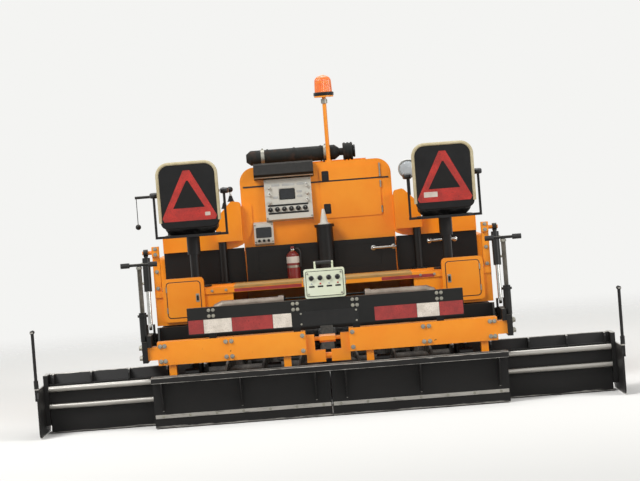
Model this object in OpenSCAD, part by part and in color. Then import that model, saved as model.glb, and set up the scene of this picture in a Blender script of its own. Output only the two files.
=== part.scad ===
// Tracked asphalt paver: fold-up hopper, slat conveyors, augers and an extending screed.
// Millimetres. +Y is the way it drives, +X its right side, +Z up, and the ground is z = 0.

/* [Machine] */
// Overall length, from the walkway's rear edge to the front of the push rollers
machine_len = 4300; // [4250:10:4400]
// Gap between parts that move past each other
run_gap = 8; // [6:1:10]
// Clearance of a pin in its hole and of a slide in its guide
fit_gap = 0.3; // [0.2:0.05:0.4]

/* [Tracks] */
// Width of the track shoes
track_w = 300; // [280:5:310]
// Sprocket shaft in front of the frame's rear end
sprocket_in = 330; // [320:5:340]
// Idler shaft behind the front edge of the hopper
idler_in = 860; // [850:5:870]
// Wanted spacing of the shoes
shoe_step = 143; // [140:1:146]
// Thickness of the rubber shoes
shoe_t = 40; // [34:1:42]
// Thickness of the chain under the shoes
band_t = 35; // [30:1:40]
// Gap between one shoe and the next
shoe_gap = 24; // [18:1:30]

/* [Frame] */
// Inner face of each side frame, which is the tunnel's wall
tunnel_half = 600; // [590:5:610]
// Space between a side frame and its track
track_gap = 60; // [50:5:70]
// Thickness of the frame's plates
plate_t = 12; // [10:1:14]
// Height of the top of the side frames
frame_top = 650; // [645:1:660]
// Height of the bottom of the side frames
frame_bottom = 235; // [225:5:245]
// Half the width over the tanks and the platform
body_half = 1210; // [1200:5:1215]
// Length behind the frame, over the augers, the screed and the walkway
screed_reach = 1040; // [1030:5:1050]

/* [Conveyor] */
// Height of the conveyor shafts
conveyor_z = 345; // [340:1:350]
// Wanted spacing of the conveyor chain's links
link_step = 92; // [90:1:94]
// Width of a slat bar along the conveyor
slat_w = 36; // [30:1:40]

/* [Hopper] */
// Length of the engine bay, from the cowl's rear face to the hopper
bay_len = 1040; // [1030:5:1050]
// Reach of the push rollers in front of the hopper
push_reach = 210; // [205:1:220]
// Distance of a wing's hinge from the centre line
wing_hinge_x = 645; // [640:1:650]
// Height of a wing's hinge
wing_hinge_z = 466; // [460:1:470]
// Height of the top of the wings
wing_top = 1010; // [980:10:1040]
// Thickness of the hopper's plates
hopper_t = 10; // [8:1:12]

/* [Body] */
// Half the width of the engine cowl
cowl_half = 565; // [555:5:570]
// Height of the hood's top
hood_top = 1750; // [1730:5:1770]
// Height of the joint between cowl and hood
hood_split = 1300; // [1290:5:1310]
// Depth of the operators' platform
platform_d = 760; // [750:5:770]
// Depth of the fixed rear part of the cowl
cowl_fixed = 220; // [215:5:230]
// Radius of the hood's long edges
hood_r = 110; // [90:5:130]
// Thickness of the hood and cowl panels
panel_t = 6; // [5:1:8]
// Height of the tanks' tops
tank_top = 1130; // [1110:5:1150]
// Height of the operators' floor
floor_z = 905; // [900:1:915]
// Top of the beacon
beacon_top = 2400; // [2350:5:2420]

/* [Seats] */
// Distance of each seat from the centre line
seat_x = 920; // [910:5:930]
// Seat post in front of the platform's rear edge
seat_in = 270; // [265:5:280]
// Width of a seat
seat_w = 450; // [440:5:460]
// Height of the seat cushion's top
seat_z = 1410; // [1390:5:1430]
// Height of the top of the seat backs
seat_top = 1840; // [1820:5:1850]
// Radius of a seat post
seat_post_r = 34; // [32:1:38]

/* [Screed] */
// Half the width of the main screed
screed_half = 1220; // [1215:1:1222]
// Height of the screed plate's underside
screed_z = 6; // [4:1:8]
// Depth of the walkway
walk_d = 150; // [140:5:160]
// Depth of the main screed
main_d = 230; // [220:5:240]
// Height of the main screed's box
main_top = 335; // [325:5:345]
// Depth of an extension
ext_d = 200; // [190:5:210]
// Height of an extension's top
ext_top = 410; // [400:5:415]
// Inner end of an extension as it stands
ext_in = 860; // [850:5:870]
// Outer end of an extension as it stands
ext_out = 1960; // [1950:5:1970]
// Tow pin behind the hopper's rear wall
tow_in = 440; // [430:5:450]
// Height of the tow pin
tow_z = 470; // [465:5:475]
// Middle of each tow arm outside the platform's side
arm_gap = 45; // [42:1:50]
// Thickness of a tow arm
arm_t = 36; // [30:1:38]

/* [Augers] */
// Auger shaft behind the frame
auger_back = 190; // [185:1:200]
// Height of the auger shaft
auger_z = 320; // [315:1:330]
// Radius of the auger flights
auger_r = 150; // [145:1:152]

/* [Hidden] */
$fn = 48;

front_y = machine_len / 2;
rear_y = -front_y;
frame_rear_y = rear_y + screed_reach;
hopper_front_y = front_y - push_reach;
cowl_rear_y = frame_rear_y + platform_d;
hopper_rear_y = cowl_rear_y + bay_len;
sprocket_y = frame_rear_y + sprocket_in;
idler_y = hopper_front_y - idler_in;
seat_y = frame_rear_y + seat_in;
tow_y = hopper_rear_y - tow_in;
auger_y = frame_rear_y - auger_back;
track_x = body_half - track_w / 2;
frame_half = track_x - track_w / 2 - track_gap;
arm_x = body_half + arm_gap;

shoes_round = 6;
shoes_straight = round((idler_y - sprocket_y) / shoe_step);
shoe_pitch = (idler_y - sprocket_y) / shoes_straight;
track_r = shoes_round * shoe_pitch / PI;
track_z = track_r + shoe_t;
track_in_r = track_r - band_t;

main_rear_y = rear_y + walk_d;
main_front_y = main_rear_y + main_d;
ext_rear_y = main_front_y + 60;
ext_front_y = ext_rear_y + ext_d;

conveyor_rear_y = frame_rear_y + 50;
conveyor_front_y = hopper_front_y - 135;
links_straight = 2 * round((conveyor_front_y - conveyor_rear_y) / link_step / 2 - 0.5) + 1;
link_pitch = (conveyor_front_y - conveyor_rear_y) / links_straight;
chain_r = 3 * link_pitch / PI;
deck_top = frame_top + 10;

module block(lo, hi) translate(lo) cube(hi - lo);
module bar_x(x0, x1, y, z, r) translate([x0, y, z]) rotate([0, 90, 0]) cylinder(r = r, h = x1 - x0);
module bar_y(y0, y1, x, z, r) translate([x, y0, z]) rotate([-90, 0, 0]) cylinder(r = r, h = y1 - y0);
module post(x, y, z0, z1, r) translate([x, y, z0]) cylinder(r = r, h = z1 - z0);
module on_side(s) mirror([s < 0 ? 1 : 0, 0, 0]) children();
module both() { children(); mirror([1, 0, 0]) children(); }
// A flat outline in the Y-Z plane, made x1 - x0 thick
module plate_yz(x0, x1) translate([x0, 0, 0]) rotate([90, 0, 90]) linear_extrude(x1 - x0) children();
// A flat outline in the X-Z plane, made y1 - y0 thick
module plate_xz(y0, y1) translate([0, y1, 0]) rotate([90, 0, 0]) linear_extrude(y1 - y0) children();
// A round tube of radius r along a line of points, with ball corners
module tube(line, r)
    for (i = [0 : len(line) - 2]) {
        d = line[i + 1] - line[i];
        translate(line[i]) rotate([0, acos(d[2] / norm(d)), atan2(d[1], d[0])]) cylinder(r = r, h = norm(d));
        if (i > 0) translate(line[i]) sphere(r + 1);
    }
// A block with its four upright edges rounded
module pad(lo, hi, r) {
    block([lo[0] + r, lo[1], lo[2]], [hi[0] - r, hi[1], hi[2]]);
    block([lo[0], lo[1] + r, lo[2]], [hi[0], hi[1] - r, hi[2]]);
    for (x = [lo[0] + r, hi[0] - r], y = [lo[1] + r, hi[1] - r])
        post(x, y, lo[2], hi[2], r);
}
// Outline of a rectangle with round corners, from its lowest corner
module round_rect(lo, hi, r) {
    translate([lo[0] + r, lo[1]]) square([hi[0] - lo[0] - 2 * r, hi[1] - lo[1]]);
    translate([lo[0], lo[1] + r]) square([hi[0] - lo[0], hi[1] - lo[1] - 2 * r]);
    for (x = [lo[0] + r, hi[0] - r], y = [lo[1] + r, hi[1] - r])
        translate([x, y]) circle(r);
}
// Points of an arc about c from angle a to angle b
function arc(c, r, a, b, n) = [for (i = [0 : n]) c + r * [cos(a + (b - a) * i / n), sin(a + (b - a) * i / n)]];
// A straight strip of thickness t between two points, round at both ends
module strip(p, q, t) {
    d = q - p;
    translate(p) rotate(atan2(d[1], d[0])) translate([0, -t / 2]) square([norm(d), t]);
    translate(p) circle(d = t);
    translate(q) circle(d = t);
}

function unit(v) = v / norm(v);
function normal(p, q) = [-unit(q - p)[1], unit(q - p)[0]];
// Points of a bent line moved sideways by d, with mitred corners
function beside(line, d) = [for (i = [0 : len(line) - 1])
    let (a = normal(line[max(i - 1, 0)], line[max(i, 1)]),
         b = normal(line[min(i, len(line) - 2)], line[min(i + 1, len(line) - 1)]))
    line[i] + (a + b) * d / (1 + a * b)];
function backwards(list) = [for (i = [len(list) - 1 : -1 : 0]) list[i]];
// A line with each inner corner rounded to radius r by n chords
function rounded(line, r, n) = [line[0],
    for (i = [1 : len(line) - 2])
        let (u = unit(line[i - 1] - line[i]), v = unit(line[i + 1] - line[i]), half = acos(u * v) / 2,
             c = line[i] + unit(u + v) * r / sin(half),
             p = line[i] + u * r / tan(half) - c, q = line[i] + v * r / tan(half) - c,
             a = atan2(p[1], p[0]), d = (atan2(q[1], q[0]) - a + 540) % 360 - 180)
        each [for (k = [0 : n]) c + r * [cos(a + d * k / n), sin(a + d * k / n)]],
    line[len(line) - 1]];
// Section of a plate of thickness t bent along a line
module bent(line, t) polygon(concat(beside(line, t / 2), backwards(beside(line, -t / 2))));

// Place of link i on a closed loop round two shafts: [along, up, turn]
function loop_place(i, n, m, pitch, r, y0, y1, z) =
    i < n ? [y0 + i * pitch, z - r, 0] :
    i < n + m ? [y1 + r * sin((i - n) * 180 / m), z - r * cos((i - n) * 180 / m), (i - n) * 180 / m] :
    i < 2 * n + m ? [y1 - (i - n - m) * pitch, z + r, 180] :
    [y0 - r * sin((i - 2 * n - m) * 180 / m), z + r * cos((i - 2 * n - m) * 180 / m),
     180 + (i - 2 * n - m) * 180 / m];
// A belt of thickness t inside radius r round two shafts
module belt(x0, x1, y0, y1, z, r, t) difference() {
    union() {
        bar_x(x0, x1, y0, z, r);
        bar_x(x0, x1, y1, z, r);
        block([x0, y0, z - r], [x1, y1, z + r]);
    }
    bar_x(x0 - 1, x1 + 1, y0, z, r - t);
    bar_x(x0 - 1, x1 + 1, y1, z, r - t);
    block([x0 - 1, y0, z - r + t], [x1 + 1, y1, z + r - t]);
}

shoe_half = (shoe_pitch - shoe_gap) / 2;
// Track: a chain with thick rubber shoes
module track() color("dimgray") {
    belt(track_x - 60, track_x + 60, sprocket_y, idler_y, track_z, track_r, band_t);
    for (i = [0 : 2 * (shoes_straight + shoes_round) - 1]) {
        p = loop_place(i, shoes_straight, shoes_round, shoe_pitch, track_r, sprocket_y, idler_y, track_z);
        translate([0, p[0], p[1]]) rotate([p[2], 0, 0])
            plate_yz(track_x - track_w / 2, track_x + track_w / 2)
                polygon([[-shoe_half, 8], [-shoe_half, 14 - shoe_t], [10 - shoe_half, -shoe_t],
                         [shoe_half - 10, -shoe_t], [shoe_half, 14 - shoe_t], [shoe_half, 8]]);
    }
}

roller_r = 62;
roller_count = 5;
roller_z = track_z - track_in_r + roller_r + fit_gap;
roller_y0 = sprocket_y + 330;
roller_y1 = idler_y - 330;
roller_shaft = 18;
flange_x = 61;
carrier_r = 42;
carrier_z = track_z + track_in_r - carrier_r - fit_gap;
carrier_y = [sprocket_y + 640, idler_y - 640];
sprocket_shaft = 36;
idler_shaft = 26;
sprocket_teeth = 12;
wheel_r = track_in_r - fit_gap;
beam_half = 28;
beam_z0 = roller_z + roller_r - 20;
beam_z1 = track_z + 70;
axle_r = 60;
function roller_y(i) = roller_y0 + i * (roller_y1 - roller_y0) / (roller_count - 1);

// Undercarriage beams with roller hangers, carrier stands and two axle tubes to the frame
module track_frames() color("black") both() {
    difference() {
        union() {
            plate_yz(track_x - beam_half, track_x + beam_half)
                polygon([[sprocket_y - 50, track_z - 60], [sprocket_y + 200, beam_z0], [idler_y - 200, beam_z0],
                         [idler_y + 50, track_z - 45], [idler_y + 50, track_z + 45], [idler_y - 200, beam_z1],
                         [sprocket_y + 200, beam_z1], [sprocket_y - 50, track_z + 60]]);
            for (i = [0 : roller_count - 1])
                block([track_x - beam_half, roller_y(i) - 42, roller_z - 32],
                      [track_x + beam_half, roller_y(i) + 42, beam_z0 + 1]);
            for (y = carrier_y)
                block([track_x - 14, y - 30, beam_z1 - 1], [track_x + 14, y + 30, carrier_z + 30]);
        }
        bar_x(track_x - 31, track_x + 31, sprocket_y, track_z, sprocket_shaft);
        bar_x(track_x - 31, track_x + 31, idler_y, track_z, idler_shaft);
        for (i = [0 : roller_count - 1])
            bar_x(track_x - 31, track_x + 31, roller_y(i), roller_z, roller_shaft);
        for (y = carrier_y)
            bar_x(track_x - 31, track_x + 31, y, carrier_z, roller_shaft);
    }
    for (y = [sprocket_y + 400, idler_y - 400]) {
        bar_x(frame_half, track_x - beam_half + 1, y, track_z, axle_r);
        bar_x(frame_half, frame_half + 14, y, track_z, axle_r + 28);
    }
}

// Outline of the sprocket, with teeth for the chain and round lightening holes
module sprocket_outline()
    difference() {
        polygon([for (i = [0 : sprocket_teeth - 1], c = [[-9, wheel_r - 28], [-5, wheel_r], [5, wheel_r], [9, wheel_r - 28]])
            let (a = i * 360 / sprocket_teeth + c[0]) c[1] * [cos(a), sin(a)]]);
        for (a = [0 : 60 : 300]) rotate(a) translate([125, 0]) circle(36);
    }

// Sprocket, idler and rollers, each in two halves on a shaft through the beam
module track_wheels() color("dimgray") both() {
    bar_x(track_x - 70, track_x + 70, sprocket_y, track_z, sprocket_shaft - fit_gap);
    bar_x(track_x - 64, track_x + 64, idler_y, track_z, idler_shaft - fit_gap);
    for (s = [-1, 1]) {
        translate([0, sprocket_y, track_z])
            plate_yz(track_x + s * 46 - 12, track_x + s * 46 + 12) sprocket_outline();
        bar_x(track_x + s * 60 - 10, track_x + s * 60 + 10, sprocket_y, track_z, 74);
        difference() {
            bar_x(track_x + s * 45 - 15, track_x + s * 45 + 15, idler_y, track_z, wheel_r);
            bar_x(track_x + s * 60 - 8, track_x + s * 60 + 8, idler_y, track_z, wheel_r - 34);
        }
        bar_x(track_x + s * 56 - 8, track_x + s * 56 + 8, idler_y, track_z, 60);
        for (a = [0 : 60 : 300])
            translate([0, idler_y, track_z]) rotate([a, 0, 0])
                block([track_x + s * 54 - 5, -14, 50], [track_x + s * 54 + 5, 14, wheel_r - 20]);
    }
    for (i = [0 : roller_count - 1]) {
        bar_x(track_x - flange_x - 8, track_x + flange_x + 8, roller_y(i), roller_z, roller_shaft - fit_gap);
        for (s = [-1, 1]) {
            bar_x(track_x + s * 47 - 14.5, track_x + s * 47 + 14.5, roller_y(i), roller_z, roller_r);
            bar_x(track_x + s * (flange_x + 3) - 3, track_x + s * (flange_x + 3) + 3, roller_y(i), roller_z, roller_r + 10);
        }
    }
    for (y = carrier_y) {
        bar_x(track_x - 58, track_x + 58, y, carrier_z, roller_shaft - fit_gap);
        for (s = [-1, 1])
            bar_x(track_x + s * 38 - 20, track_x + s * 38 + 20, y, carrier_z, carrier_r);
    }
}

tie_rear = [frame_rear_y - 20, frame_bottom - 25];
tie_r = 18;
// Side frames: two long plates each, with ribs, a top strip and a tie-down eye behind
module side_frames() color("black") both() {
    block([tunnel_half, frame_rear_y, frame_bottom],
          [tunnel_half + plate_t, hopper_front_y, conveyor_z + chain_r + 20]);
    block([tunnel_half, frame_rear_y, frame_bottom], [tunnel_half + plate_t, hopper_rear_y, frame_top]);
    block([frame_half - plate_t, frame_rear_y, frame_bottom], [frame_half, hopper_rear_y, frame_top]);
    block([tunnel_half, frame_rear_y, frame_top - plate_t], [frame_half, hopper_rear_y, frame_top]);
    for (y = [frame_rear_y, sprocket_y + 390, 0, hopper_rear_y - plate_t])
        block([tunnel_half, y, frame_bottom], [frame_half, y + plate_t, frame_top]);
    difference() {
        plate_yz(tunnel_half + plate_t, tunnel_half + 2 * plate_t)
            polygon([[frame_rear_y + 60, frame_bottom + 40], [frame_rear_y - 10, frame_bottom + 40],
                     [frame_rear_y - 50, frame_bottom - 3], [frame_rear_y - 50, frame_bottom - 60],
                     [frame_rear_y + 60, frame_bottom - 60]]);
        bar_x(tunnel_half, tunnel_half + 3 * plate_t, tie_rear[0], tie_rear[1], tie_r);
    }
}

// Deck plate over the tunnel and the side frames
module frame_deck() color("black")
    block([-frame_half, frame_rear_y, frame_top], [frame_half, hopper_rear_y, deck_top]);

beam_rear_y = frame_rear_y - 60;
// Cross beam behind the frames with the augers' chain case and outer hangers
module rear_beam() color("black") {
    block([-body_half, beam_rear_y, 560], [body_half, frame_rear_y, frame_top]);
    difference() {
        plate_yz(-45, 45)
            polygon([[auger_y - 60, auger_z - 60], [auger_y + 60, auger_z - 60], [beam_rear_y, 520],
                     [beam_rear_y, frame_top], [auger_y - 60, auger_z + 100]]);
        bar_x(-46, 46, auger_y, auger_z, journal_r);
    }
    both()
        difference() {
            plate_yz(hanger_x, hanger_x + 14)
                polygon([[auger_y - 60, auger_z - 30], [auger_y + 60, auger_z - 30], [beam_rear_y, 560],
                         [beam_rear_y, frame_top], [beam_rear_y - 60, frame_top], [auger_y - 60, auger_z + 60]]);
            bar_x(hanger_x - 1, hanger_x + 15, auger_y, auger_z, journal_r);
        }
}

guard_z = conveyor_z + chain_r + 66;
// Pan between the upper and lower runs of the conveyors, with the shafts' bearings
module conveyor_floor() color("gray") {
    block([-tunnel_half, conveyor_rear_y + 120, conveyor_z - 10], [tunnel_half, conveyor_front_y - 120, conveyor_z + 60]);
    block([-6, conveyor_rear_y + 120, conveyor_z + 59], [6, conveyor_front_y - 120, guard_z - 4]);
    plate_xz(conveyor_rear_y + 60, hopper_front_y - 30)
        bent([[-62, guard_z - 44], [0, guard_z], [62, guard_z - 44]], 8);
    for (y = [conveyor_rear_y, conveyor_front_y]) {
        bar_x(-tunnel_half, tunnel_half, y, conveyor_z, 26);
        for (x = [45, 570])
            both() bar_x(x - 6, x + 6, y, conveyor_z, chain_r - 12 - fit_gap);
    }
}

// Two slat conveyors, each with two chains
module conveyor() color("dimgray")
    both() {
        for (x = [45, 570])
            belt(x - 12, x + 12, conveyor_rear_y, conveyor_front_y, conveyor_z, chain_r, 12);
        for (i = [0 : 2 : 2 * (links_straight + 3) - 1]) {
            p = loop_place(i, links_straight, 3, link_pitch, chain_r, conveyor_rear_y, conveyor_front_y, conveyor_z);
            translate([0, p[0], p[1]]) rotate([p[2], 0, 0])
                block([30, -slat_w / 2, -8], [tunnel_half - 12, slat_w / 2, 6]);
        }
    }

// Fixed rear wall of the hopper, over the tunnel's mouth
module hopper_rear_wall() color("black")
    block([-body_half, hopper_rear_y, frame_top], [body_half, hopper_rear_y + hopper_t, wing_top]);

pin_r = 14;
knuckle_r = 24;
knuckle_len = 50;
knuckle_y = [hopper_rear_y + hopper_t + 5, hopper_front_y - 70];
push_beam_d = 40;
push_beam_half = 720;
tie_front = [hopper_front_y + push_beam_d / 2, 285];
// Front of the hopper: apron, push beam, hinge pins of the wings and cylinder brackets
module hopper_front() color("black") {
    plate_yz(-tunnel_half, tunnel_half)
        bent([[hopper_front_y - 24, 300], [hopper_front_y - 24, 480], [hopper_front_y + 22, 590]], 12);
    block([-push_beam_half, hopper_front_y, 330], [push_beam_half, hopper_front_y + push_beam_d, 560]);
    both() {
        bar_y(knuckle_y[0], knuckle_y[1] + knuckle_len, wing_hinge_x, wing_hinge_z, pin_r);
        for (y = knuckle_y)
            block([tunnel_half + plate_t, y, wing_hinge_z - 60],
                  [wing_hinge_x + 18, y + knuckle_len, wing_hinge_z + 14]);
        for (x = [roller_in, roller_out])
            difference() {
                block([x, hopper_front_y + push_beam_d, 410], [x + bracket_t, roller_push_y + 50, 530]);
                bar_x(x - 1, x + bracket_t + 1, roller_push_y, roller_push_z, roller_shaft_r + fit_gap / 3);
            }
        for (s = [-1, 1])
            translate([0, wing_cyl_y + s * (eye_t / 2 + 1 + 5), 0])
                plate_xz(-5, 5) strip([tunnel_half + plate_t + 28, wing_foot[1]], wing_foot, 56);
        for (s = [-1, 1])
            translate([0, wing_cyl_y + s * (eye_t / 2 + 1 + 5), 0])
                block([tunnel_half + plate_t, -5, wing_foot[1] - 28], [tunnel_half + plate_t + 28, 5, wing_foot[1] + 28]);
        bar_y(wing_cyl_y - eye_t / 2 - 11, wing_cyl_y + eye_t / 2 + 11, wing_foot[0], wing_foot[1], pin_r);
        difference() {
            block([push_beam_half - 30, hopper_front_y, tie_front[1] - 35],
                  [push_beam_half - 14, hopper_front_y + push_beam_d, 330]);
            bar_x(push_beam_half - 31, push_beam_half - 13, tie_front[0], tie_front[1], 16);
        }
    }
}

bracket_t = 16;
roller_in = 40;
roller_out = 640;
roller_shaft_r = 22;
roller_push_r = 80;
roller_push_y = front_y - roller_push_r;
roller_push_z = 470;
// Push roller that turns on its own shaft
module push_roller() color("gray") {
    bar_x(roller_in + bracket_t + run_gap, roller_out - run_gap, roller_push_y, roller_push_z, roller_push_r);
    bar_x(roller_in + 2, roller_out + bracket_t - 2, roller_push_y, roller_push_z, roller_shaft_r);
}

wing_side = [body_half - 10, 706];
wing_bend = [body_half - 325, 672];
wing_y0 = hopper_rear_y + hopper_t + run_gap;
wing_y1 = hopper_front_y - run_gap;
wing_slope = 280;
// Folding side of the hopper, on sleeves round the hinge pin
module wing() color("dimgray") {
    difference() {
        union() {
            plate_xz(wing_y0, wing_y1)
                bent(rounded([[wing_hinge_x, wing_hinge_z + 16], wing_bend, wing_side, [wing_side[0], wing_top]], 65, 5),
                     hopper_t);
            bar_y(wing_y0, wing_y1 - wing_slope, wing_side[0], wing_top, 15);
            for (y = [wing_y0 + 50 : 270 : wing_y1 - wing_slope])
                block([wing_side[0] + hopper_t / 2 - 1, y, wing_side[1] + 70], [wing_side[0] + 22, y + 40, wing_top - 20]);
            for (y = [wing_y0 + 180, wing_y0 + 560, wing_y1 - 90])
                translate([0, y, 0]) plate_xz(-6, 6)
                    polygon([[wing_hinge_x + 22, wing_hinge_z + 36], [wing_hinge_x + 66, wing_hinge_z + 30],
                             [wing_bend[0] + 60, wing_bend[1] - 12], [wing_bend[0] + 120, wing_bend[1] + 13],
                             [wing_bend[0] - 10, wing_bend[1] - 10]]);
            bar_y(knuckle_y[0] + knuckle_len + 10, knuckle_y[1] - 10, wing_hinge_x, wing_hinge_z, knuckle_r);
        }
        bar_y(wing_y0 - 1, wing_y1 + 1, wing_hinge_x, wing_hinge_z, pin_r + fit_gap);
        plate_yz(wing_side[0] - 40, wing_side[0] + 40)
            polygon([[wing_y1 - wing_slope, wing_top + 30], [wing_y1 - wing_slope, wing_top + 15],
                     [wing_y1 + 1, wing_top - 220], [wing_y1 + 1, wing_top + 30]]);
        for (y = knuckle_y)
            block([wing_hinge_x - 45, y - run_gap - 5, wing_hinge_z - 45],
                  [wing_hinge_x + 45, y + knuckle_len + 10, wing_hinge_z + 45]);
    }
    for (s = [-1, 1])
        translate([0, wing_cyl_y + s * 26, 0])
            plate_xz(-6, 6)
                polygon([[wing_eye[0] - 45, wing_bend[1] + 2], [wing_eye[0] - 28, wing_eye[1] - 28],
                         [wing_eye[0] + 28, wing_eye[1] - 28], [wing_eye[0] + 45, wing_bend[1] + 12]]);
}

wing_cyl_y = hopper_front_y - 300;
wing_eye = [body_half - 250, 610];
wing_foot = [tunnel_half + 100, 300];
lift_eye = [frame_rear_y - 70, 665];
lift_top = [frame_rear_y, 1190];
rod_r = 16;
eye_t = 32;
rod_eye_t = 20;
eye_r = 26;
bore_start = 46;

// Cylinder barrel from its eye at the origin up +Z, bored for the rod
module barrel(len, r) difference() {
    union() {
        translate([0, eye_t / 2, 0]) rotate([90, 0, 0]) cylinder(r = eye_r, h = eye_t);
        cylinder(r = eye_t / 2 - 2, h = 40);
        translate([0, 0, 36]) cylinder(r = r, h = len - 36);
    }
    translate([0, eye_t / 2 + 1, 0]) rotate([90, 0, 0]) cylinder(r = pin_r + fit_gap / 3, h = eye_t + 2);
    translate([0, 0, bore_start]) cylinder(r = rod_r + fit_gap, h = len);
}
// Rod from z0 to its eye at z1
module rod(z0, z1) difference() {
    union() {
        translate([0, 0, z0]) cylinder(r = rod_r, h = z1 - z0);
        translate([0, rod_eye_t / 2, z1]) rotate([90, 0, 0]) cylinder(r = eye_r, h = rod_eye_t);
    }
    translate([0, rod_r + 1, z1]) rotate([90, 0, 0]) cylinder(r = pin_r + fit_gap / 3, h = 2 * rod_r + 2);
}

wing_len = norm(wing_eye - wing_foot);
wing_turn = atan2(wing_eye[0] - wing_foot[0], wing_eye[1] - wing_foot[1]);
module wing_place() translate([wing_foot[0], wing_cyl_y, wing_foot[1]]) rotate([0, wing_turn, 0]) children();
module wing_barrel() color("black") wing_place() barrel(290, 28);
module wing_rod() color("silver") wing_place() rod(120, wing_len);

lift_len = norm(lift_eye - lift_top);
lift_turn = atan2(lift_eye[0] - lift_top[0], lift_top[1] - lift_eye[1]);
module lift_place() translate([arm_x, lift_top[0], lift_top[1]]) rotate([180 + lift_turn, 0, 0]) rotate([0, 0, 90]) children();
module lift_barrel() color("black") lift_place() barrel(lift_len - 253, 28);
module lift_rod() color("silver") lift_place() rod(lift_len - 278, lift_len);

// Engine, as one block on the deck
module engine_block() color("gray")
    block([-300, cowl_rear_y + 270, deck_top], [300, hopper_rear_y - 170, hood_split - 40]);

// Cross-section of the hood and cowl, grown or shrunk by g
module hood_outline(z0, g) {
    h = cowl_half + g;
    top = hood_top + g;
    r = hood_r + g;
    translate([-h, z0]) square([2 * h, top - r - z0]);
    translate([-h + r, top - r]) square([2 * (h - r), r]);
    for (s = [-1, 1]) translate([s * (h - r), top - r]) circle(r);
}

lid_y0 = cowl_rear_y + cowl_fixed + run_gap;
lid_y1 = hopper_rear_y - 4;
hood_hinge = [hopper_rear_y + 12, hood_split];
hood_hinge_x = 380;
hood_knuckle = 24;
grille_top = hood_split - 25;
// Fixed panels round the engine and the rear part under the muffler
module cowl() color("orange") {
    difference() {
        block([-cowl_half, cowl_rear_y, deck_top], [cowl_half, hopper_rear_y, hood_split]);
        block([-cowl_half + panel_t, cowl_rear_y + panel_t, deck_top - 1],
              [cowl_half - panel_t, hopper_rear_y - panel_t, hood_split + 1]);
        both()
            for (y = [cowl_rear_y + 390 : 60 : hopper_rear_y - 130])
                block([cowl_half - 20, y, tank_top + 20], [cowl_half + 1, y + 30, grille_top]);
        for (x = [100 - cowl_half : 62 : cowl_half - 125])
            block([x, hopper_rear_y - 20, wing_top + 40], [x + 32, hopper_rear_y + 1, grille_top - 20]);
    }
    difference() {
        plate_xz(cowl_rear_y, cowl_rear_y + cowl_fixed) hood_outline(hood_split, 0);
        plate_xz(cowl_rear_y + panel_t, cowl_rear_y + cowl_fixed + 1) hood_outline(hood_split - 1, -panel_t);
    }
    for (x = [-hood_hinge_x, hood_hinge_x]) {
        bar_x(x - 2 * hood_knuckle, x + 2 * hood_knuckle, hood_hinge[0], hood_hinge[1], 5);
        bar_x(x - hood_knuckle / 2, x + hood_knuckle / 2, hood_hinge[0], hood_hinge[1], 10);
        block([x - hood_knuckle / 2, hopper_rear_y - 1, hood_split - 30],
              [x + hood_knuckle / 2, hood_hinge[0], hood_split]);
    }
    for (z = [[hood_split + 30, door_top], [door_top + 12, hood_top - 40]])
        plate_xz(cowl_rear_y - 8, cowl_rear_y + 1) round_rect([30, z[0]], [cowl_half - 85, z[1]], 18);
}

door_top = hood_top - 150;
// Hood that tips forward about the pins at its front edge
module hood() color("orange") {
    difference() {
        union() {
            plate_xz(lid_y0, lid_y1) hood_outline(hood_split + 3, 0);
            pad([-cowl_half + 170, lid_y0 + 70, hood_top - 1], [cowl_half - 170, lid_y1 - 90, hood_top + 12], 60);
        }
        plate_xz(lid_y0 + panel_t, lid_y1 - panel_t) hood_outline(hood_split - 1, -panel_t);
        both()
            for (y = [cowl_rear_y + 390 : 60 : hopper_rear_y - 170])
                block([cowl_half - 20, y, hood_split + 70], [cowl_half + 1, y + 30, hood_split + 250]);
    }
    both()
        for (y = [cowl_rear_y + 470, cowl_rear_y + 770])
            block([cowl_half - 1, y, hood_split + 18], [cowl_half + 16, y + 90, hood_split + 34]);
    for (x = [-hood_hinge_x, hood_hinge_x])
        for (s = [-1, 1])
            translate([x + s * (hood_knuckle + 1), 0, 0])
                difference() {
                    union() {
                        bar_x(-11, 11, hood_hinge[0], hood_hinge[1], 10);
                        block([-11, lid_y1 - 1, hood_split + 5], [11, hood_hinge[0], hood_split + 10]);
                        block([-11, lid_y1 - 1, hood_split + 5], [11, lid_y1 + 3, hood_split + 40]);
                    }
                    bar_x(-12, 12, hood_hinge[0], hood_hinge[1], 5 + fit_gap);
                }
}

muffler_y = cowl_rear_y + 110;
muffler_z = hood_top + 70;
// Muffler and air pre-cleaner lying across the cowl, on two saddles
module muffler() color("black") {
    bar_x(-470, 160, muffler_y, muffler_z, 56);
    for (e = [[-470, -1], [160, 1]])
        translate([e[0], muffler_y, muffler_z]) rotate([0, 90 * e[1], 0]) cylinder(r1 = 56, r2 = 30, h = 34);
    for (x = [-350, -150, 50])
        bar_x(x, x + 14, muffler_y, muffler_z, 60);
    bar_x(190, 225, muffler_y, muffler_z, 28);
    bar_x(222, 296, muffler_y, muffler_z, 62);
    for (x = [228, 254, 280])
        bar_x(x, x + 12, muffler_y, muffler_z, 67);
    for (x = [-400, 70])
        block([x, muffler_y - 40, hood_top], [x + 40, muffler_y + 40, muffler_z - 30]);
}

beacon_x = 110;
beacon_y = cowl_rear_y + 30;
lamp_h = 150;
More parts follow.
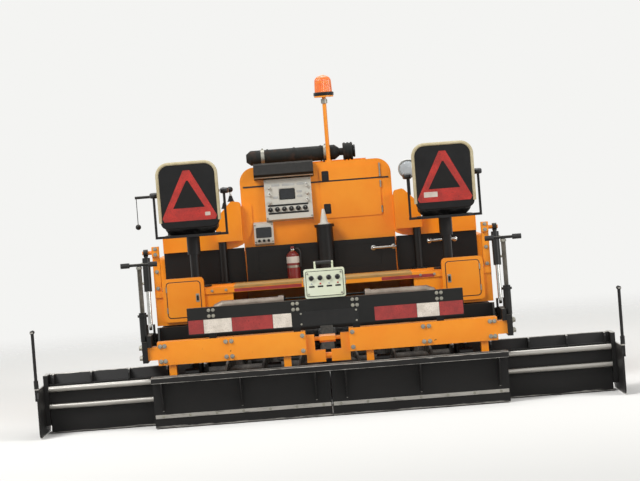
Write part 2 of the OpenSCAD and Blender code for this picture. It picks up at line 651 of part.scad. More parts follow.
// Beacon: foot, pole, round base and domed lens
module beacon() color("orange") {
    post(beacon_x, beacon_y, hood_top, hood_top + 14, 28);
    post(beacon_x, beacon_y, hood_top, beacon_top - lamp_h, 15);
    post(beacon_x, beacon_y, beacon_top - lamp_h - 16, beacon_top - lamp_h + 16, 72);
    post(beacon_x, beacon_y, beacon_top - lamp_h, beacon_top - 50, 60);
    difference() {
        translate([beacon_x, beacon_y, beacon_top - 60]) sphere(60);
        post(beacon_x, beacon_y, beacon_top - 200, beacon_top - 50, 80);
    }
}

tank_x0 = cowl_half + 4;
tank_y0 = cowl_rear_y + 50;
panel_y = cowl_rear_y - 62;
panel_z = [hood_top - 400, hood_top - 100];
post_x = 765;
// Control panels on the cowl's rear face, with a display's recess and knobs
module control_panel() color("lightgray") {
    difference() {
        plate_yz(-385, -35)
            polygon([[cowl_rear_y, panel_z[0] - 15], [panel_y, panel_z[0]], [panel_y + 24, panel_z[1]],
                     [cowl_rear_y, panel_z[1]]]);
        block([-280, panel_y - 20, panel_z[0] + 140], [-155, panel_y + 22, panel_z[1] - 70]);
    }
    plate_yz(-485, -340)
        polygon([[cowl_rear_y, console_z - 50], [panel_y + 20, console_z - 35], [panel_y + 34, panel_z[0] - 20],
                 [cowl_rear_y, panel_z[0] - 10]]);
    for (x = [-350 : 52 : -80])
        bar_y(panel_y - 16, panel_y + 30, x, panel_z[0] + 75, 13);
    for (x = [-350, -70], z = [130, 185, 240])
        bar_y(panel_y - 6, panel_y + 30, x, panel_z[0] + z, 10);
}

console_z = tank_top + 85;
pedestal_x = 40;
pedestal_y = cowl_rear_y - 100;
pod_y = [cowl_rear_y - 85, cowl_rear_y + 38];
// Black visor over the gauges, the wall below the panels, and the posts under the consoles
module dash() color("black") {
    plate_yz(-455, -10)
        polygon([[cowl_rear_y, panel_z[1] + 2], [panel_y - 30, panel_z[1] + 14], [panel_y - 44, panel_z[1] + 40],
                 [panel_y + 4, hood_top + 12], [cowl_rear_y, hood_top + 25]]);
    difference() {
        block([-cowl_half + 8, cowl_rear_y - 16, floor_z], [cowl_half - 8, cowl_rear_y, console_z - 56]);
        for (x = [-470, -150, 170])
            block([x, cowl_rear_y - 17, floor_z + 50], [x + 280, cowl_rear_y - 8, console_z - 90]);
    }
    post(pedestal_x, pedestal_y, floor_z, console_z + 55, 62);
    post(pedestal_x, pedestal_y, console_z + 54, console_z + 75, 74);
    post(pedestal_x, pedestal_y, floor_z, floor_z + 12, 95);
    both() {
        block([cowl_half + 4, tank_y0 - 12, floor_z], [body_half - 40, tank_y0, console_z - 56]);
        block([cowl_half + 4, cowl_rear_y + 1, floor_z], [cowl_half + 12, tank_y0, console_z - 56]);
        post(post_x - 40, cowl_rear_y - 50, floor_z, console_z, 30);
        post(post_x - 40, cowl_rear_y - 50, floor_z, floor_z + 10, 60);
    }
}

lever_x = [-740, -690, -640];
function lever_foot(x) = console_z + min(296, 162 + (post_x + x) * 1.016);
// Orange consoles beside the cowl, with levers, a lamp's stalk and the bent guard for the legs
module consoles() color("orange") {
    both() {
        plate_xz(pod_y[0], pod_y[1])
            polygon(rounded([[cowl_half + 5, console_z], [cowl_half + 5, console_z + 285], [cowl_half + 75, console_z + 297],
                             [post_x, console_z + 170], [post_x, console_z]], 26, 4));
        plate_xz(cowl_rear_y - 12, cowl_rear_y)
            bent(rounded([[body_half - 40, console_z], [cowl_half - 20, console_z], [cowl_half - 20, console_z + 255]],
                         120, 6), 110);
        for (x = [body_half - 160, post_x + 35]) {
            block([x, cowl_rear_y - 1, tank_top + 40], [x + 50, tank_y0 + 60, tank_top + 52]);
            block([x, tank_y0 + 24, tank_top], [x + 50, tank_y0 + 60, tank_top + 41]);
        }
    }
    for (x = lever_x) {
        post(x, cowl_rear_y - 30, lever_foot(x), console_z + 375, 7);
        translate([x, cowl_rear_y - 30, console_z + 385]) sphere(21);
    }
    post(lamp_x, cowl_rear_y - 30, console_z + 225, lamp_z - 66, 11);
}

lamp_x = 690;
lamp_z = console_z + 437;
// Work lamp on the stalk over the right console
module lamps() color("gray") {
    post(lamp_x, cowl_rear_y - 30, lamp_z - 66, lamp_z - 52, 18);
    bar_y(cowl_rear_y - 76, cowl_rear_y + 6, lamp_x, lamp_z, 62);
    bar_y(cowl_rear_y - 84, cowl_rear_y - 76, lamp_x, lamp_z, 68);
    translate([lamp_x, cowl_rear_y + 6, lamp_z]) rotate([-90, 0, 0]) cylinder(r1 = 62, r2 = 26, h = 30);
}

// Fire extinguisher standing by the footwell
module extinguisher() color("darkred") {
    post(-210, cowl_rear_y - 72, floor_z, floor_z + 175, 48);
    translate([-210, cowl_rear_y - 72, floor_z + 175]) cylinder(r1 = 48, r2 = 18, h = 30);
    post(-210, cowl_rear_y - 72, floor_z + 200, floor_z + 230, 14);
    block([-222, cowl_rear_y - 112, floor_z + 225], [-198, cowl_rear_y - 46, floor_z + 238]);
    block([-246, cowl_rear_y - 30, floor_z + 60], [-174, cowl_rear_y - 16, floor_z + 90]);
}

// Tanks beside the engine, over the tracks, with their lids and fillers
module tanks() color("orange") both() {
    difference() {
        plate_yz(tank_x0, body_half)
            round_rect([tank_y0, deck_top], [hopper_rear_y, tank_top], 22);
        block([body_half - 6, tank_y0 + 60, deck_top + 60], [body_half + 1, tow_y - 190, tank_top - 70]);
        block([body_half - 6, tow_y + 190, deck_top + 60], [body_half + 1, hopper_rear_y - 60, tank_top - 70]);
    }
    pad([tank_x0 + 90, tank_y0 + 90, tank_top - 1], [body_half - 70, tow_y + 60, tank_top + 14], 30);
    post(body_half - 150, hopper_rear_y - 160, tank_top - 1, tank_top + 40, 46);
    post(body_half - 150, hopper_rear_y - 160, tank_top + 39, tank_top + 62, 54);
}

// Operators' floor on its box frame behind the engine, with a box at each rear corner
module platform() color("orange") {
    block([-body_half, frame_rear_y, floor_z - 8], [body_half, cowl_rear_y, floor_z]);
    block([-body_half, frame_rear_y - 12, floor_z - 42], [body_half, frame_rear_y, floor_z]);
    both() {
        block([body_half - 8, frame_rear_y, deck_top], [body_half, cowl_rear_y, floor_z]);
        block([frame_half - 200, frame_rear_y, deck_top], [body_half, frame_rear_y + 8, floor_z]);
        block([frame_half - 200, cowl_rear_y - 8, deck_top], [body_half, cowl_rear_y, floor_z]);
        plate_xz(frame_rear_y - 26, frame_rear_y + 45)
            round_rect([frame_half + 5, deck_top + 20], [body_half - 58, floor_z + 85], 30);
        for (y = [frame_rear_y + 60 : 52 : cowl_rear_y - 150])
            block([frame_half - 200, y, floor_z - 1], [body_half - 60, y + 12, floor_z + 3]);
    }
}

tube_bend = 70;
pipe_x = frame_half - 120;
handrail_y = frame_rear_y - 34;
handrail_z = frame_top + 130;
// Grey pipes along the rear, each bent down to the cross beam
module rear_pipes() color("gray")
    both() {
        tube([[300, handrail_y, handrail_z], [pipe_x, handrail_y, handrail_z],
              [pipe_x + tube_bend * 0.6, handrail_y, handrail_z - tube_bend * 0.25],
              [pipe_x + tube_bend, handrail_y, handrail_z - tube_bend * 0.8],
              [pipe_x + tube_bend, handrail_y, frame_top]], 30);
        bar_x(292, 330, handrail_y, handrail_z, 37);
        post(pipe_x + tube_bend, handrail_y, frame_top, frame_top + 14, 32);
    }

arm_in = arm_x - arm_t / 2;
arm_out = arm_x + arm_t / 2;
tow_pin_r = 30;
tow_plate_x = body_half + 6;
// Brackets of each arm: the post over its lift cylinder and the plate with its tow pin
module arm_brackets() color("orange")
    both() {
        block([body_half - 50, frame_rear_y, floor_z], [body_half, frame_rear_y + 60, lift_top[1] + 40]);
        block([body_half - 50, frame_rear_y - 30, lift_top[1] - 30], [body_half, frame_rear_y, lift_top[1] + 40]);
        bar_x(body_half - 20, arm_x + eye_t / 2 + 8, lift_top[0], lift_top[1], pin_r);
        plate_yz(tow_plate_x, tow_plate_x + 12)
            polygon([[tow_y - 90, tow_z - 60], [tow_y + 90, tow_z - 60], [tow_y + 170, 800], [tow_y - 170, 800]]);
        block([body_half, tow_y - 160, deck_top + 20], [tow_plate_x, tow_y + 160, 800]);
        bar_x(tow_plate_x + 1, arm_out + 20, tow_y, tow_z, tow_pin_r);
        bar_x(arm_out + 8, arm_out + 20, tow_y, tow_z, tow_pin_r + 12);
    }

// Seat posts, each with its foot on the floor and a clamp
module seat_posts() color("black")
    both() {
        post(seat_x, seat_y, floor_z + 3, floor_z + 15, 110);
        post(seat_x, seat_y, floor_z + 14, floor_z + 43, 62);
        post(seat_x, seat_y, floor_z + 3, seat_z - 150, seat_post_r);
    }

back_tilt = 8;
back_y = seat_y - 190;
back_r = 90;
// Seat frame: socket, pan, back plate and armrests
module seat_frame() color("black") {
    difference() {
        post(seat_x, seat_y, seat_z - 260, seat_z - 130, seat_post_r + 14);
        post(seat_x, seat_y, seat_z - 261, seat_z - 150 + fit_gap, seat_post_r + fit_gap);
    }
    pad([seat_x - 200, seat_y - 200, seat_z - 130], [seat_x + 200, seat_y + 200, seat_z - 112], 40);
    for (s = [-1, 1]) {
        translate([0, 0, seat_z + 170])
            pad([seat_x + s * 255 - 24, seat_y - 170, 0], [seat_x + s * 255 + 24, seat_y + 130, 30], 23);
        block([seat_x + s * 255 - 8, seat_y - 150, seat_z - 130], [seat_x + s * 255 + 8, seat_y - 110, seat_z + 171]);
        block([seat_x + s * 230 - 35, seat_y - 150, seat_z - 130], [seat_x + s * 230 + 33, seat_y - 110, seat_z - 112]);
    }
}
// Seat: rounded cushion and a high back that leans to the rear
module seat() color("black") {
    pad([seat_x - seat_w / 2, seat_y - 170, seat_z - 112 + fit_gap], [seat_x + seat_w / 2, seat_y + 250, seat_z], 70);
    translate([0, back_y, seat_z - 60]) rotate([back_tilt, 0, 0])
        plate_xz(-50, 45)
            translate([seat_x, 0]) round_rect([-seat_w / 2, 0], [seat_w / 2, (seat_top - seat_z + 60) / cos(back_tilt) - 7],
                                              back_r);
}

// Auger with a helical flight on its shaft
flight_pitch = 260;
flight_step = 20;
flight_t = 14;
auger_in = 75;
auger_out = 1170;
auger_shaft_r = 34;
journal_r = 26;
hanger_x = body_half - 20;
// Helical flight from x0 to x1: rings of four corners, joined into one closed sheet
module flight(x0, x1, hand) {
    n = floor((x1 - x0) / flight_pitch * 360 / flight_step);
    points = [for (i = [0 : n])
        let (a = hand * i * flight_step, x = x0 + i * flight_step * flight_pitch / 360)
        for (c = [[auger_shaft_r - 4, 0], [auger_r, 0], [auger_r, flight_t], [auger_shaft_r - 4, flight_t]])
            [x + c[1], auger_y + c[0] * cos(a), auger_z + c[0] * sin(a)]];
    sides = [for (i = [0 : n - 1], c = [0 : 3])
        [4 * i + c, 4 * i + (c + 1) % 4, 4 * i + 4 + (c + 1) % 4, 4 * i + 4 + c]];
    split = [for (q = sides) each hand > 0 ? [[q[0], q[1], q[2]], [q[0], q[2], q[3]]] :
                                             [[q[2], q[1], q[0]], [q[3], q[2], q[0]]]];
    ends = hand > 0 ? [[3, 2, 1, 0], [4 * n, 4 * n + 1, 4 * n + 2, 4 * n + 3]] :
                      [[0, 1, 2, 3], [4 * n + 3, 4 * n + 2, 4 * n + 1, 4 * n]];
    polyhedron(points, concat(split, ends));
}
module auger() color("gray") {
    bar_x(auger_in, auger_out, auger_y, auger_z, auger_shaft_r);
    bar_x(auger_out - 1, hanger_x + 12, auger_y, auger_z, journal_r - fit_gap / 3);
    bar_x(8, auger_in + 1, auger_y, auger_z, journal_r - fit_gap / 3);
    flight(auger_in + 5, auger_out - 30, 1);
}
arm_rear_y = main_rear_y + 10;
crank_y = main_rear_y + 80;
// Tow arm beside the track, with the lugs for the lift cylinder and the depth screw
module tow_arm() color("black") {
    difference() {
        plate_yz(arm_in, arm_out)
            polygon([[tow_y + 60, tow_z - 50], [tow_y + 60, tow_z + 50], [auger_y + 100, 620], [arm_rear_y, 600],
                     [arm_rear_y, 455], [auger_y + 100, 470], [tow_y - 100, tow_z - 60]]);
        bar_x(arm_in - 1, arm_out + 1, tow_y, tow_z, tow_pin_r + fit_gap / 3);
    }
    for (x = [arm_in - 12, arm_out])
        block([x, lift_eye[0] - 36, 560], [x + 12, lift_eye[0] + 36, lift_eye[1] + 14]);
    post(arm_x, crank_y, 599, 800, 26);
    post(arm_x, crank_y, 770, 786, 36);
    post(arm_x, crank_y, 599, 1130, 14);
    bar_x(arm_x - 120, arm_x + 120, crank_y, 1130, 10);
    for (s = [-1, 1])
        bar_x(arm_x + s * 95 - 30, arm_x + s * 95 + 30, crank_y, 1130, 16);
    block([arm_in - 30, crank_y - 60, 560], [arm_in, crank_y + 60, 640]);
}

tube_y = main_front_y + 30;
tube_z = [190, 310];
tube_r = 20;
bush_x0 = screed_half - 95;
bush_x1 = screed_half - 45;
rail_z = [235, 265];
rail_d = 20;
// Main screed box with its plate, split at the crown, with covers on top
module screed_body() color("black") {
    both() {
        plate_yz(3, screed_half)
            polygon([[main_rear_y, screed_z], [main_front_y - 20, screed_z], [main_front_y + 6, screed_z + 20],
                     [main_front_y + 6, screed_z + 60], [main_front_y, screed_z + 60], [main_front_y, main_top - 45],
                     [main_front_y - 30, main_top], [main_rear_y + 20, main_top], [main_rear_y, main_top - 20]]);
        block([60, main_front_y - 1, rail_z[0]], [bush_x0 + 1, main_front_y + rail_d, rail_z[1]]);
        for (x = [70, 640])
            block([x, main_rear_y + 32, main_top - 1], [x + 180, main_front_y - 45, main_top + 10]);
        for (x = [330, 900])
            bar_x(x, x + 90, main_rear_y + 115, main_top + 26, 30);
        for (x = [330, 900])
            block([x + 10, main_rear_y + 92, main_top - 1], [x + 80, main_rear_y + 138, main_top + 20]);
        difference() {
            block([bush_x0, main_front_y - 1, tube_z[0] - 34], [bush_x1, tube_y + 24, tube_z[1] + 20 + 4]);
            for (z = tube_z)
                bar_x(bush_x0 - 1, bush_x1 + 1, tube_y, z, tube_r + fit_gap);
        }
    }
    bar_x(-40, 40, main_front_y - 60, main_top, 16);
    for (x = [-40, -8, 24])
        block([x, main_front_y - 80, main_top - 20], [x + 16, main_front_y - 40, main_top + 8]);
}

beam_z = [430, 590];
beam_y = [main_rear_y + 40, main_front_y - 30];
// Orange beam over the screed that the arms bolt to, in two halves joined at the crown
module screed_beam() color("orange") {
    both() {
        plate_yz(150, screed_half - 50)
            bent([[beam_y[0] + 6, beam_z[0]], [beam_y[0] + 6, beam_z[1] - 6], [beam_y[1] - 6, beam_z[1] - 6],
                  [beam_y[1] - 6, beam_z[0]]], 12);
        for (x = [150, 640, screed_half - 62])
            block([x, beam_y[0] + 1, beam_z[0]], [x + 12, beam_y[1] - 1, beam_z[1] - 1]);
        block([screed_half - 51, beam_y[0], beam_z[0] + 40], [arm_in, beam_y[1] - 30, beam_z[1] - 30]);
        for (x = [260, 1050])
            block([x, main_rear_y + 60, main_top], [x + 50, main_front_y - 50, beam_z[1] - 8]);
        block([20, main_rear_y + 80, beam_z[0] - 60], [151, main_front_y - 70, beam_z[0] + 20]);
        block([90, main_rear_y + 80, beam_z[0]], [151, main_front_y - 70, beam_z[1] - 30]);
    }
    bar_x(-24, 24, main_rear_y + 115, beam_z[0] - 20, 22);
    bar_x(-100, 100, main_rear_y + 115, beam_z[1] - 60, 14);
    translate([-55, main_rear_y + 115, beam_z[1] - 60]) rotate([0, 90, 0]) cylinder(r = 28, h = 110, $fn = 6);
}

step_z = main_top + 20;
// Walkway behind the screed: a plate with turned edges and drain slots, on brackets
module walkway() color("black") {
    difference() {
        block([-screed_half, rear_y + 1, step_z - 8], [screed_half, main_rear_y, step_z]);
        both()
            for (x = [40 : 80 : screed_half - 60], y = [rear_y + 30, rear_y + walk_d - 58])
                block([x, y, step_z - 9], [x + 44, y + 20, step_z + 1]);
    }
    block([-screed_half, rear_y, step_z - 34], [screed_half, rear_y + 8, step_z + 6]);
    block([-screed_half, main_rear_y - 10, step_z - 34], [screed_half, main_rear_y, step_z + 6]);
    both() {
        block([screed_half - 8, rear_y + 1, step_z - 34], [screed_half, main_rear_y - 1, step_z + 6]);
        for (x = [100, screed_half / 2, screed_half - 70])
            plate_yz(x, x + 10)
                polygon([[rear_y + 7, step_z - 7], [main_rear_y, step_z - 7], [main_rear_y, 120],
                         [main_rear_y - 30, 120], [rear_y + 7, step_z - 60]]);
    }
}

bar_half = 950;
bar_y0 = main_rear_y + 45;
bar_z = [beam_z[1] + 30, beam_z[1] + 216];
// Rear bar on its two posts
module rear_bar() color("black") {
    plate_yz(-bar_half, bar_half)
        polygon([[bar_y0, bar_z[0]], [bar_y0 + 30, bar_z[0]], [bar_y0 + 30, bar_z[1] - 6], [bar_y0 + 60, bar_z[1] - 6],
                 [bar_y0 + 60, bar_z[1]], [bar_y0, bar_z[1]]]);
    both()
        for (x = [180, 760])
            block([x, bar_y0 + 29, beam_z[1]], [x + 50, bar_y0 + 59, bar_z[1] - 5]);
    block([-110, bar_y0, bar_z[1] - 6], [130, bar_y0 + 120, box_z[0]]);
}

box_z = [bar_z[1] + 6, bar_z[1] + 204];
// Pale box with the heat and vibration switches on the rear bar
module heat_box() color("lightgray") {
    plate_xz(bar_y0 - 20, bar_y0 + 110)
        round_rect([-130, box_z[0]], [150, box_z[1]], 14);
    plate_xz(bar_y0 - 28, bar_y0 - 19)
        round_rect([-115, box_z[0] + 16], [135, box_z[1] - 16], 10);
    for (x = [-80 : 60 : 100])
        bar_y(bar_y0 - 44, bar_y0 - 20, x, box_z[1] - 60, 12);
    for (x = [-50, 70])
        post(x, bar_y0 + 50, box_z[1] - 10, box_z[1] + 42, 7);
    bar_x(-57, 77, bar_y0 + 50, box_z[1] + 42, 9);
}

guide_x = -body_half + 40;
// Steering guide on the left tank: post, arm, and the ball hanging from it
module guide_bar() color("black") {
    post(guide_x, hopper_rear_y - 70, tank_top, tank_top + 14, 40);
    post(guide_x, hopper_rear_y - 70, tank_top, 1596, 14);
    bar_x(guide_x - 250, guide_x + 14, hopper_rear_y - 70, 1590, 11);
    post(guide_x - 240, hopper_rear_y - 70, 1370, 1585, 3);
    translate([guide_x - 240, hopper_rear_y - 70, 1360]) sphere(22);
}

// Extension: box with its own plate, guide tubes behind it and end brackets
module extension() color("black") {
    plate_yz(ext_in, ext_out)
        polygon([[ext_rear_y, screed_z], [ext_front_y - 24, screed_z], [ext_front_y, screed_z + 22],
                 [ext_front_y, screed_z + 90], [ext_front_y - 60, ext_top - 40], [ext_front_y - 60, ext_top],
                 [ext_front_y - 85, ext_top], [ext_front_y - 110, ext_top - 70], [ext_rear_y, ext_top - 70]]);
    for (x = [ext_in : 265 : ext_out - 20])
        plate_yz(x, x + 12)
            polygon([[ext_rear_y, screed_z + 60], [ext_front_y - 60, screed_z + 60], [ext_front_y - 60, ext_top],
                     [ext_rear_y + 25, ext_top], [ext_rear_y, ext_top - 25]]);
    for (x = [ext_in + 35, ext_in + 95]) {
        post(x, ext_rear_y + 70, ext_top - 71, ext_top + 90, 14);
        post(x, ext_rear_y + 70, ext_top + 20, ext_top + 60, 24);
        bar_y(ext_rear_y + 30, ext_rear_y + 110, x, ext_top + 90, 9);
    }
    for (z = tube_z)
        bar_x(ext_in - 1, ext_out + 1, tube_y, z, tube_r);
    difference() {
        block([ext_in - 12, tube_y - 24, screed_z + 120], [ext_in, ext_front_y, ext_top]);
        block([ext_in - 13, tube_y - 25, rail_z[0] - fit_gap], [ext_in + 1, main_front_y + rail_d + 4, rail_z[1] + fit_gap]);
    }
    block([ext_out, tube_y - 24, 60], [ext_out + end_t, ext_front_y, ext_top]);
    for (y = stud_y) {
        bar_x(ext_out + end_t - 1, gate_x + gate_t + 10, y, stud_z, stud_r);
        bar_x(gate_x + gate_t + fit_gap, gate_x + gate_t + 8, y, stud_z, stud_r + 9);
    }
}

end_t = 30;
gate_t = 12;
gate_x = ext_out + end_t + fit_gap;
gate_lift = 60;
gate_top = 340;
stud_r = 11;
stud_z = 180;
stud_y = [ext_rear_y + 40, ext_front_y - 50];
// End gate outside the extension, slotted so that it can ride up on its two studs
module end_gate() color("black") {
    difference() {
        plate_yz(gate_x, gate_x + gate_t)
            polygon([[rear_y + 50, screed_z], [ext_front_y + 10, screed_z], [ext_front_y + 70, screed_z + 80],
                     [ext_front_y + 70, gate_top], [rear_y + 60, gate_top], [rear_y + 20, gate_top - 60],
                     [rear_y + 20, screed_z + 30]]);
        for (y = stud_y)
            plate_yz(gate_x - 1, gate_x + gate_t + 1)
                strip([y, stud_z - gate_lift - fit_gap], [y, stud_z + fit_gap], 2 * stud_r + 2 * fit_gap);
    }
    post(gate_x + 16, rear_y + 80, gate_top - 1, gate_top + 60, 16);
    post(gate_x + 16, rear_y + 80, gate_top - 1, 730, 11);
    bar_y(rear_y + 30, rear_y + 130, gate_x + 16, 730, 11);
    block([gate_x, rear_y + 45, gate_top - 80], [gate_x + gate_t + 14, rear_y + 115, gate_top]);
}

on_side(-1) track();  // track_left
on_side(1) track();  // track_right
track_frames();
track_wheels();
side_frames();
frame_deck();
rear_beam();
conveyor_floor();
conveyor();
hopper_rear_wall();
hopper_front();
on_side(-1) wing();  // wing_left
on_side(1) wing();  // wing_right
on_side(-1) wing_barrel();  // wing_barrel_left
on_side(1) wing_barrel();  // wing_barrel_right
on_side(-1) wing_rod();  // wing_rod_left
on_side(1) wing_rod();  // wing_rod_right
on_side(-1) push_roller();  // push_roller_left
on_side(1) push_roller();  // push_roller_right
engine_block();
cowl();
hood();
muffler();
beacon();
control_panel();
dash();
consoles();
lamps();
extinguisher();
tanks();
guide_bar();
platform();
rear_pipes();
arm_brackets();
seat_posts();
on_side(-1) seat_frame();  // seat_frame_left
on_side(1) seat_frame();  // seat_frame_right
on_side(-1) seat();  // seat_left
on_side(1) seat();  // seat_right
on_side(-1) auger();  // auger_left
on_side(1) auger();  // auger_right
on_side(-1) tow_arm();  // tow_arm_left
on_side(1) tow_arm();  // tow_arm_right
on_side(-1) lift_barrel();  // lift_barrel_left
on_side(1) lift_barrel();  // lift_barrel_right
on_side(-1) lift_rod();  // lift_rod_left
on_side(1) lift_rod();  // lift_rod_right
screed_body();
screed_beam();
walkway();
rear_bar();
heat_box();
on_side(-1) extension();  // extension_left
on_side(1) extension();  // extension_right
on_side(-1) end_gate();  // end_gate_left
on_side(1) end_gate();  // end_gate_right
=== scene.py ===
import math
import bpy
import numpy as np
from mathutils import Euler, Matrix, Vector


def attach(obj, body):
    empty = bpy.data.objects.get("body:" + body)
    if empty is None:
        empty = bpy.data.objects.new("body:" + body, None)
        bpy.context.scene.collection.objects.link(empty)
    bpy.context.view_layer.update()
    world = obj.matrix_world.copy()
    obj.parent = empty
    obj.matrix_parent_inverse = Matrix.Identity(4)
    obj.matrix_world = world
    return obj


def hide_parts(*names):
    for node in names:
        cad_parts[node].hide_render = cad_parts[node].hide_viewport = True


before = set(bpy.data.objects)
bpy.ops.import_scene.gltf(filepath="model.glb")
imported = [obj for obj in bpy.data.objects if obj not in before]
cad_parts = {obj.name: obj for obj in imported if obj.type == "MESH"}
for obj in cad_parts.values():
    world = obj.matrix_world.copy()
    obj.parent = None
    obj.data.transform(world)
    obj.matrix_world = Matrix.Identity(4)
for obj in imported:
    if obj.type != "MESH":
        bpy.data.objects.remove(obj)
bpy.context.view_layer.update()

# ---- Camera ----
# Stands behind the machine at a person's eye height, a little turned about its own axis, with
# a long lens that fills the 640 x 481 frame.
camera_data = bpy.data.cameras.new("camera")
camera = bpy.data.objects.new("camera", camera_data)
bpy.context.collection.objects.link(camera)
eye, to_screed = (0.0, -20.1, 1.6), 18
frame_width_px, pixels_per_metre = 640, 147
camera_data.sensor_width = 36
camera_data.lens = 36 * pixels_per_metre * to_screed / frame_width_px
camera_data.clip_end = 200
pitch, roll = math.radians(-1.25), math.radians(-4.4)
camera.rotation_mode = "XYZ"
camera.matrix_world = (Matrix.Translation(eye) @ Euler((math.radians(90) + pitch, 0, 0)).to_matrix().to_4x4()
                       @ Matrix.Rotation(roll, 4, "Z"))
bpy.context.scene.camera = camera

# ---- Floor and light ----
# A pale matt floor that fades into nothing, lit like a studio by one large lamp high on the left, a weaker one on the
# right, and an even pale surround.
bpy.context.scene.view_settings.view_transform = "Standard"


def linear(code):
    """sRGB hex to linear RGBA: small values are divided by 12.92, the rest take the power 2.4."""
    rgb = np.array([int(code[k:k + 2], 16) for k in (1, 3, 5)]) / 255
    return tuple(np.where(rgb <= 0.04045, rgb / 12.92, ((rgb + 0.055) / 1.055) ** 2.4)) + (1.0,)


def add(tree, kind, feeds=None, **settings):
    """Adds a shader node with its settings, and feeds its inputs.

    A feed is a number, a hex colour, an output, or a node, which gives its first live output."""
    made = tree.nodes.new("ShaderNode" + kind)
    for name, value in settings.items():
        setattr(made, name, value)
    for name, value in (feeds or {}).items():
        if isinstance(value, bpy.types.Node):
            value = next(output for output in value.outputs if output.enabled)
        if isinstance(value, bpy.types.NodeSocket):
            tree.links.new(value, made.inputs[name])
        else:
            made.inputs[name].default_value = linear(value) if isinstance(value, str) else value
    return made


def matt_floor():
    """Pale seamless paper: matt round the machine, and fading into the surround from 3.5 m to 13 m away."""
    paper = bpy.data.materials.new("seamless_paper")
    paper.use_nodes = True
    tree = paper.node_tree
    tree.nodes.clear()
    matt = add(tree, "BsdfDiffuse", {"Color": "#E2E1DE", "Roughness": 1.0})
    away = add(tree, "VectorMath", {0: add(tree, "TexCoord").outputs["Object"]}, operation="LENGTH")
    gone = add(tree, "MapRange", {"Value": away, "From Min": 3.5, "From Max": 13.0},
               interpolation_type="SMOOTHSTEP")
    fade = add(tree, "MixShader", {0: gone, 1: matt, 2: add(tree, "BsdfTransparent")})
    add(tree, "OutputMaterial", {"Surface": fade})
    return paper


def floor_sheet(reach, lift, cells=32):
    """A square sheet of cells x cells quads at height lift, reach metres to each side."""
    side = np.linspace(-reach, reach, cells + 1)
    x, y = np.meshgrid(side, side, indexing="ij")
    i, j = np.meshgrid(np.arange(cells), np.arange(cells), indexing="ij")
    a = (i * (cells + 1) + j).ravel()
    faces = np.stack([a, a + cells + 1, a + cells + 2, a + 1], 1)
    mesh = bpy.data.meshes.new("floor")
    mesh.from_pydata(np.stack([x.ravel(), y.ravel(), np.full(x.size, lift)], 1).tolist(), [], faces.tolist())
    mesh.materials.append(matt_floor())
    sheet = bpy.data.objects.new("floor", mesh)
    bpy.context.collection.objects.link(sheet)


floor_sheet(60.0, -0.002)

for lamp_name, place, size, power in (("key_lamp", (-6.0, -8.0, 8.5), 5.0, 900),
                                      ("fill_lamp", (8.0, -7.0, 4.5), 6.0, 420),
                                      ("top_lamp", (0.0, 2.0, 9.0), 7.0, 380)):
    lamp_data = bpy.data.lights.new(lamp_name, "AREA")
    lamp_data.shape = "DISK"
    lamp_data.size = size
    lamp_data.energy = power
    lamp = bpy.data.objects.new(lamp_name, lamp_data)
    bpy.context.collection.objects.link(lamp)
    aim = Vector((0, 0, 0.8)) - Vector(place)
    lamp.matrix_world = Matrix.Translation(place) @ aim.to_track_quat("-Z", "Y").to_matrix().to_4x4()

surround = bpy.data.worlds.new("surround")
surround.use_nodes = True
bpy.context.scene.world = surround
sky = surround.node_tree
sky.nodes.clear()
rays = add(sky, "LightPath").outputs
shown = add(sky, "Math", {0: rays["Is Camera Ray"], 1: rays["Is Glossy Ray"]}, operation="MAXIMUM")
shown = add(sky, "Math", {0: shown, 1: rays["Is Transmission Ray"]}, operation="MAXIMUM")
glow = add(sky, "Background", {"Color": "#F1F1F0", "Strength": 0.42})
wall = add(sky, "Background", {"Color": "#F4F4F2", "Strength": 1.0})
add(sky, "OutputWorld", {"Surface": add(sky, "MixShader", {0: shown, 1: glow, 2: wall})})

# ---- Tracks ----
# Thick rubber shoes on a steel chain, black when new, here scuffed grey and dusty brown from
# the road base, with the grit packed between the shoes.


def finish(name):
    """A new empty material of that name, its tree, and the piece's own coordinates."""
    made = bpy.data.materials.new(name)
    made.use_nodes = True
    made.node_tree.nodes.clear()
    return made, made.node_tree, add(made.node_tree, "TexCoord").outputs["Object"]


def coat(made, inputs):
    """Closes a material with a Principled shader that takes these inputs."""
    add(made.node_tree, "OutputMaterial", {"Surface": add(made.node_tree, "BsdfPrincipled", inputs)})
    return made


def weathered(name, clean, worn, patch, reach, rough, grain=(), bump=(), inputs=None, kind="TexNoise"):
    """Clean colour that turns worn as a soft noise passes through reach, which sets the roughness too.

    patch is the soft noise's scale, detail and roughness, and grain the fine one's scale and detail. reach is
    from, to and most, rough is least and most, and bump is the fine one's strength and height in metres."""
    made, tree, at = finish(name)
    soft = add(tree, "TexNoise", {"Vector": at, **dict(zip(("Scale", "Detail", "Roughness"), patch))})
    limits = dict(zip(("From Min", "From Max", "To Max"), reach))
    share = add(tree, "MapRange", {"Value": soft, **limits}) if reach else soft
    inputs = {**(inputs or {}), "Base Color": add(tree, "Mix", {"Factor": share, "A": clean, "B": worn},
                                                  data_type="RGBA")}
    if rough:
        inputs["Roughness"] = add(tree, "MapRange", {"Value": soft, "To Min": rough[0], "To Max": rough[1]})
    if grain:
        fine = add(tree, kind, {"Vector": at, **dict(zip(("Scale", "Detail"), grain))})
        inputs["Normal"] = add(tree, "Bump", {"Height": fine, "Strength": bump[0], "Distance": bump[1]})
    return coat(made, inputs)


def dress(made, *names):
    """Gives CAD nodes a finish, in the slots that they have."""
    for name in names:
        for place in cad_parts[name].material_slots:
            place.material = made


def both(*names):
    """The names of the left and the right one of each."""
    return [name + side for name in names for side in ("_left", "_right")]


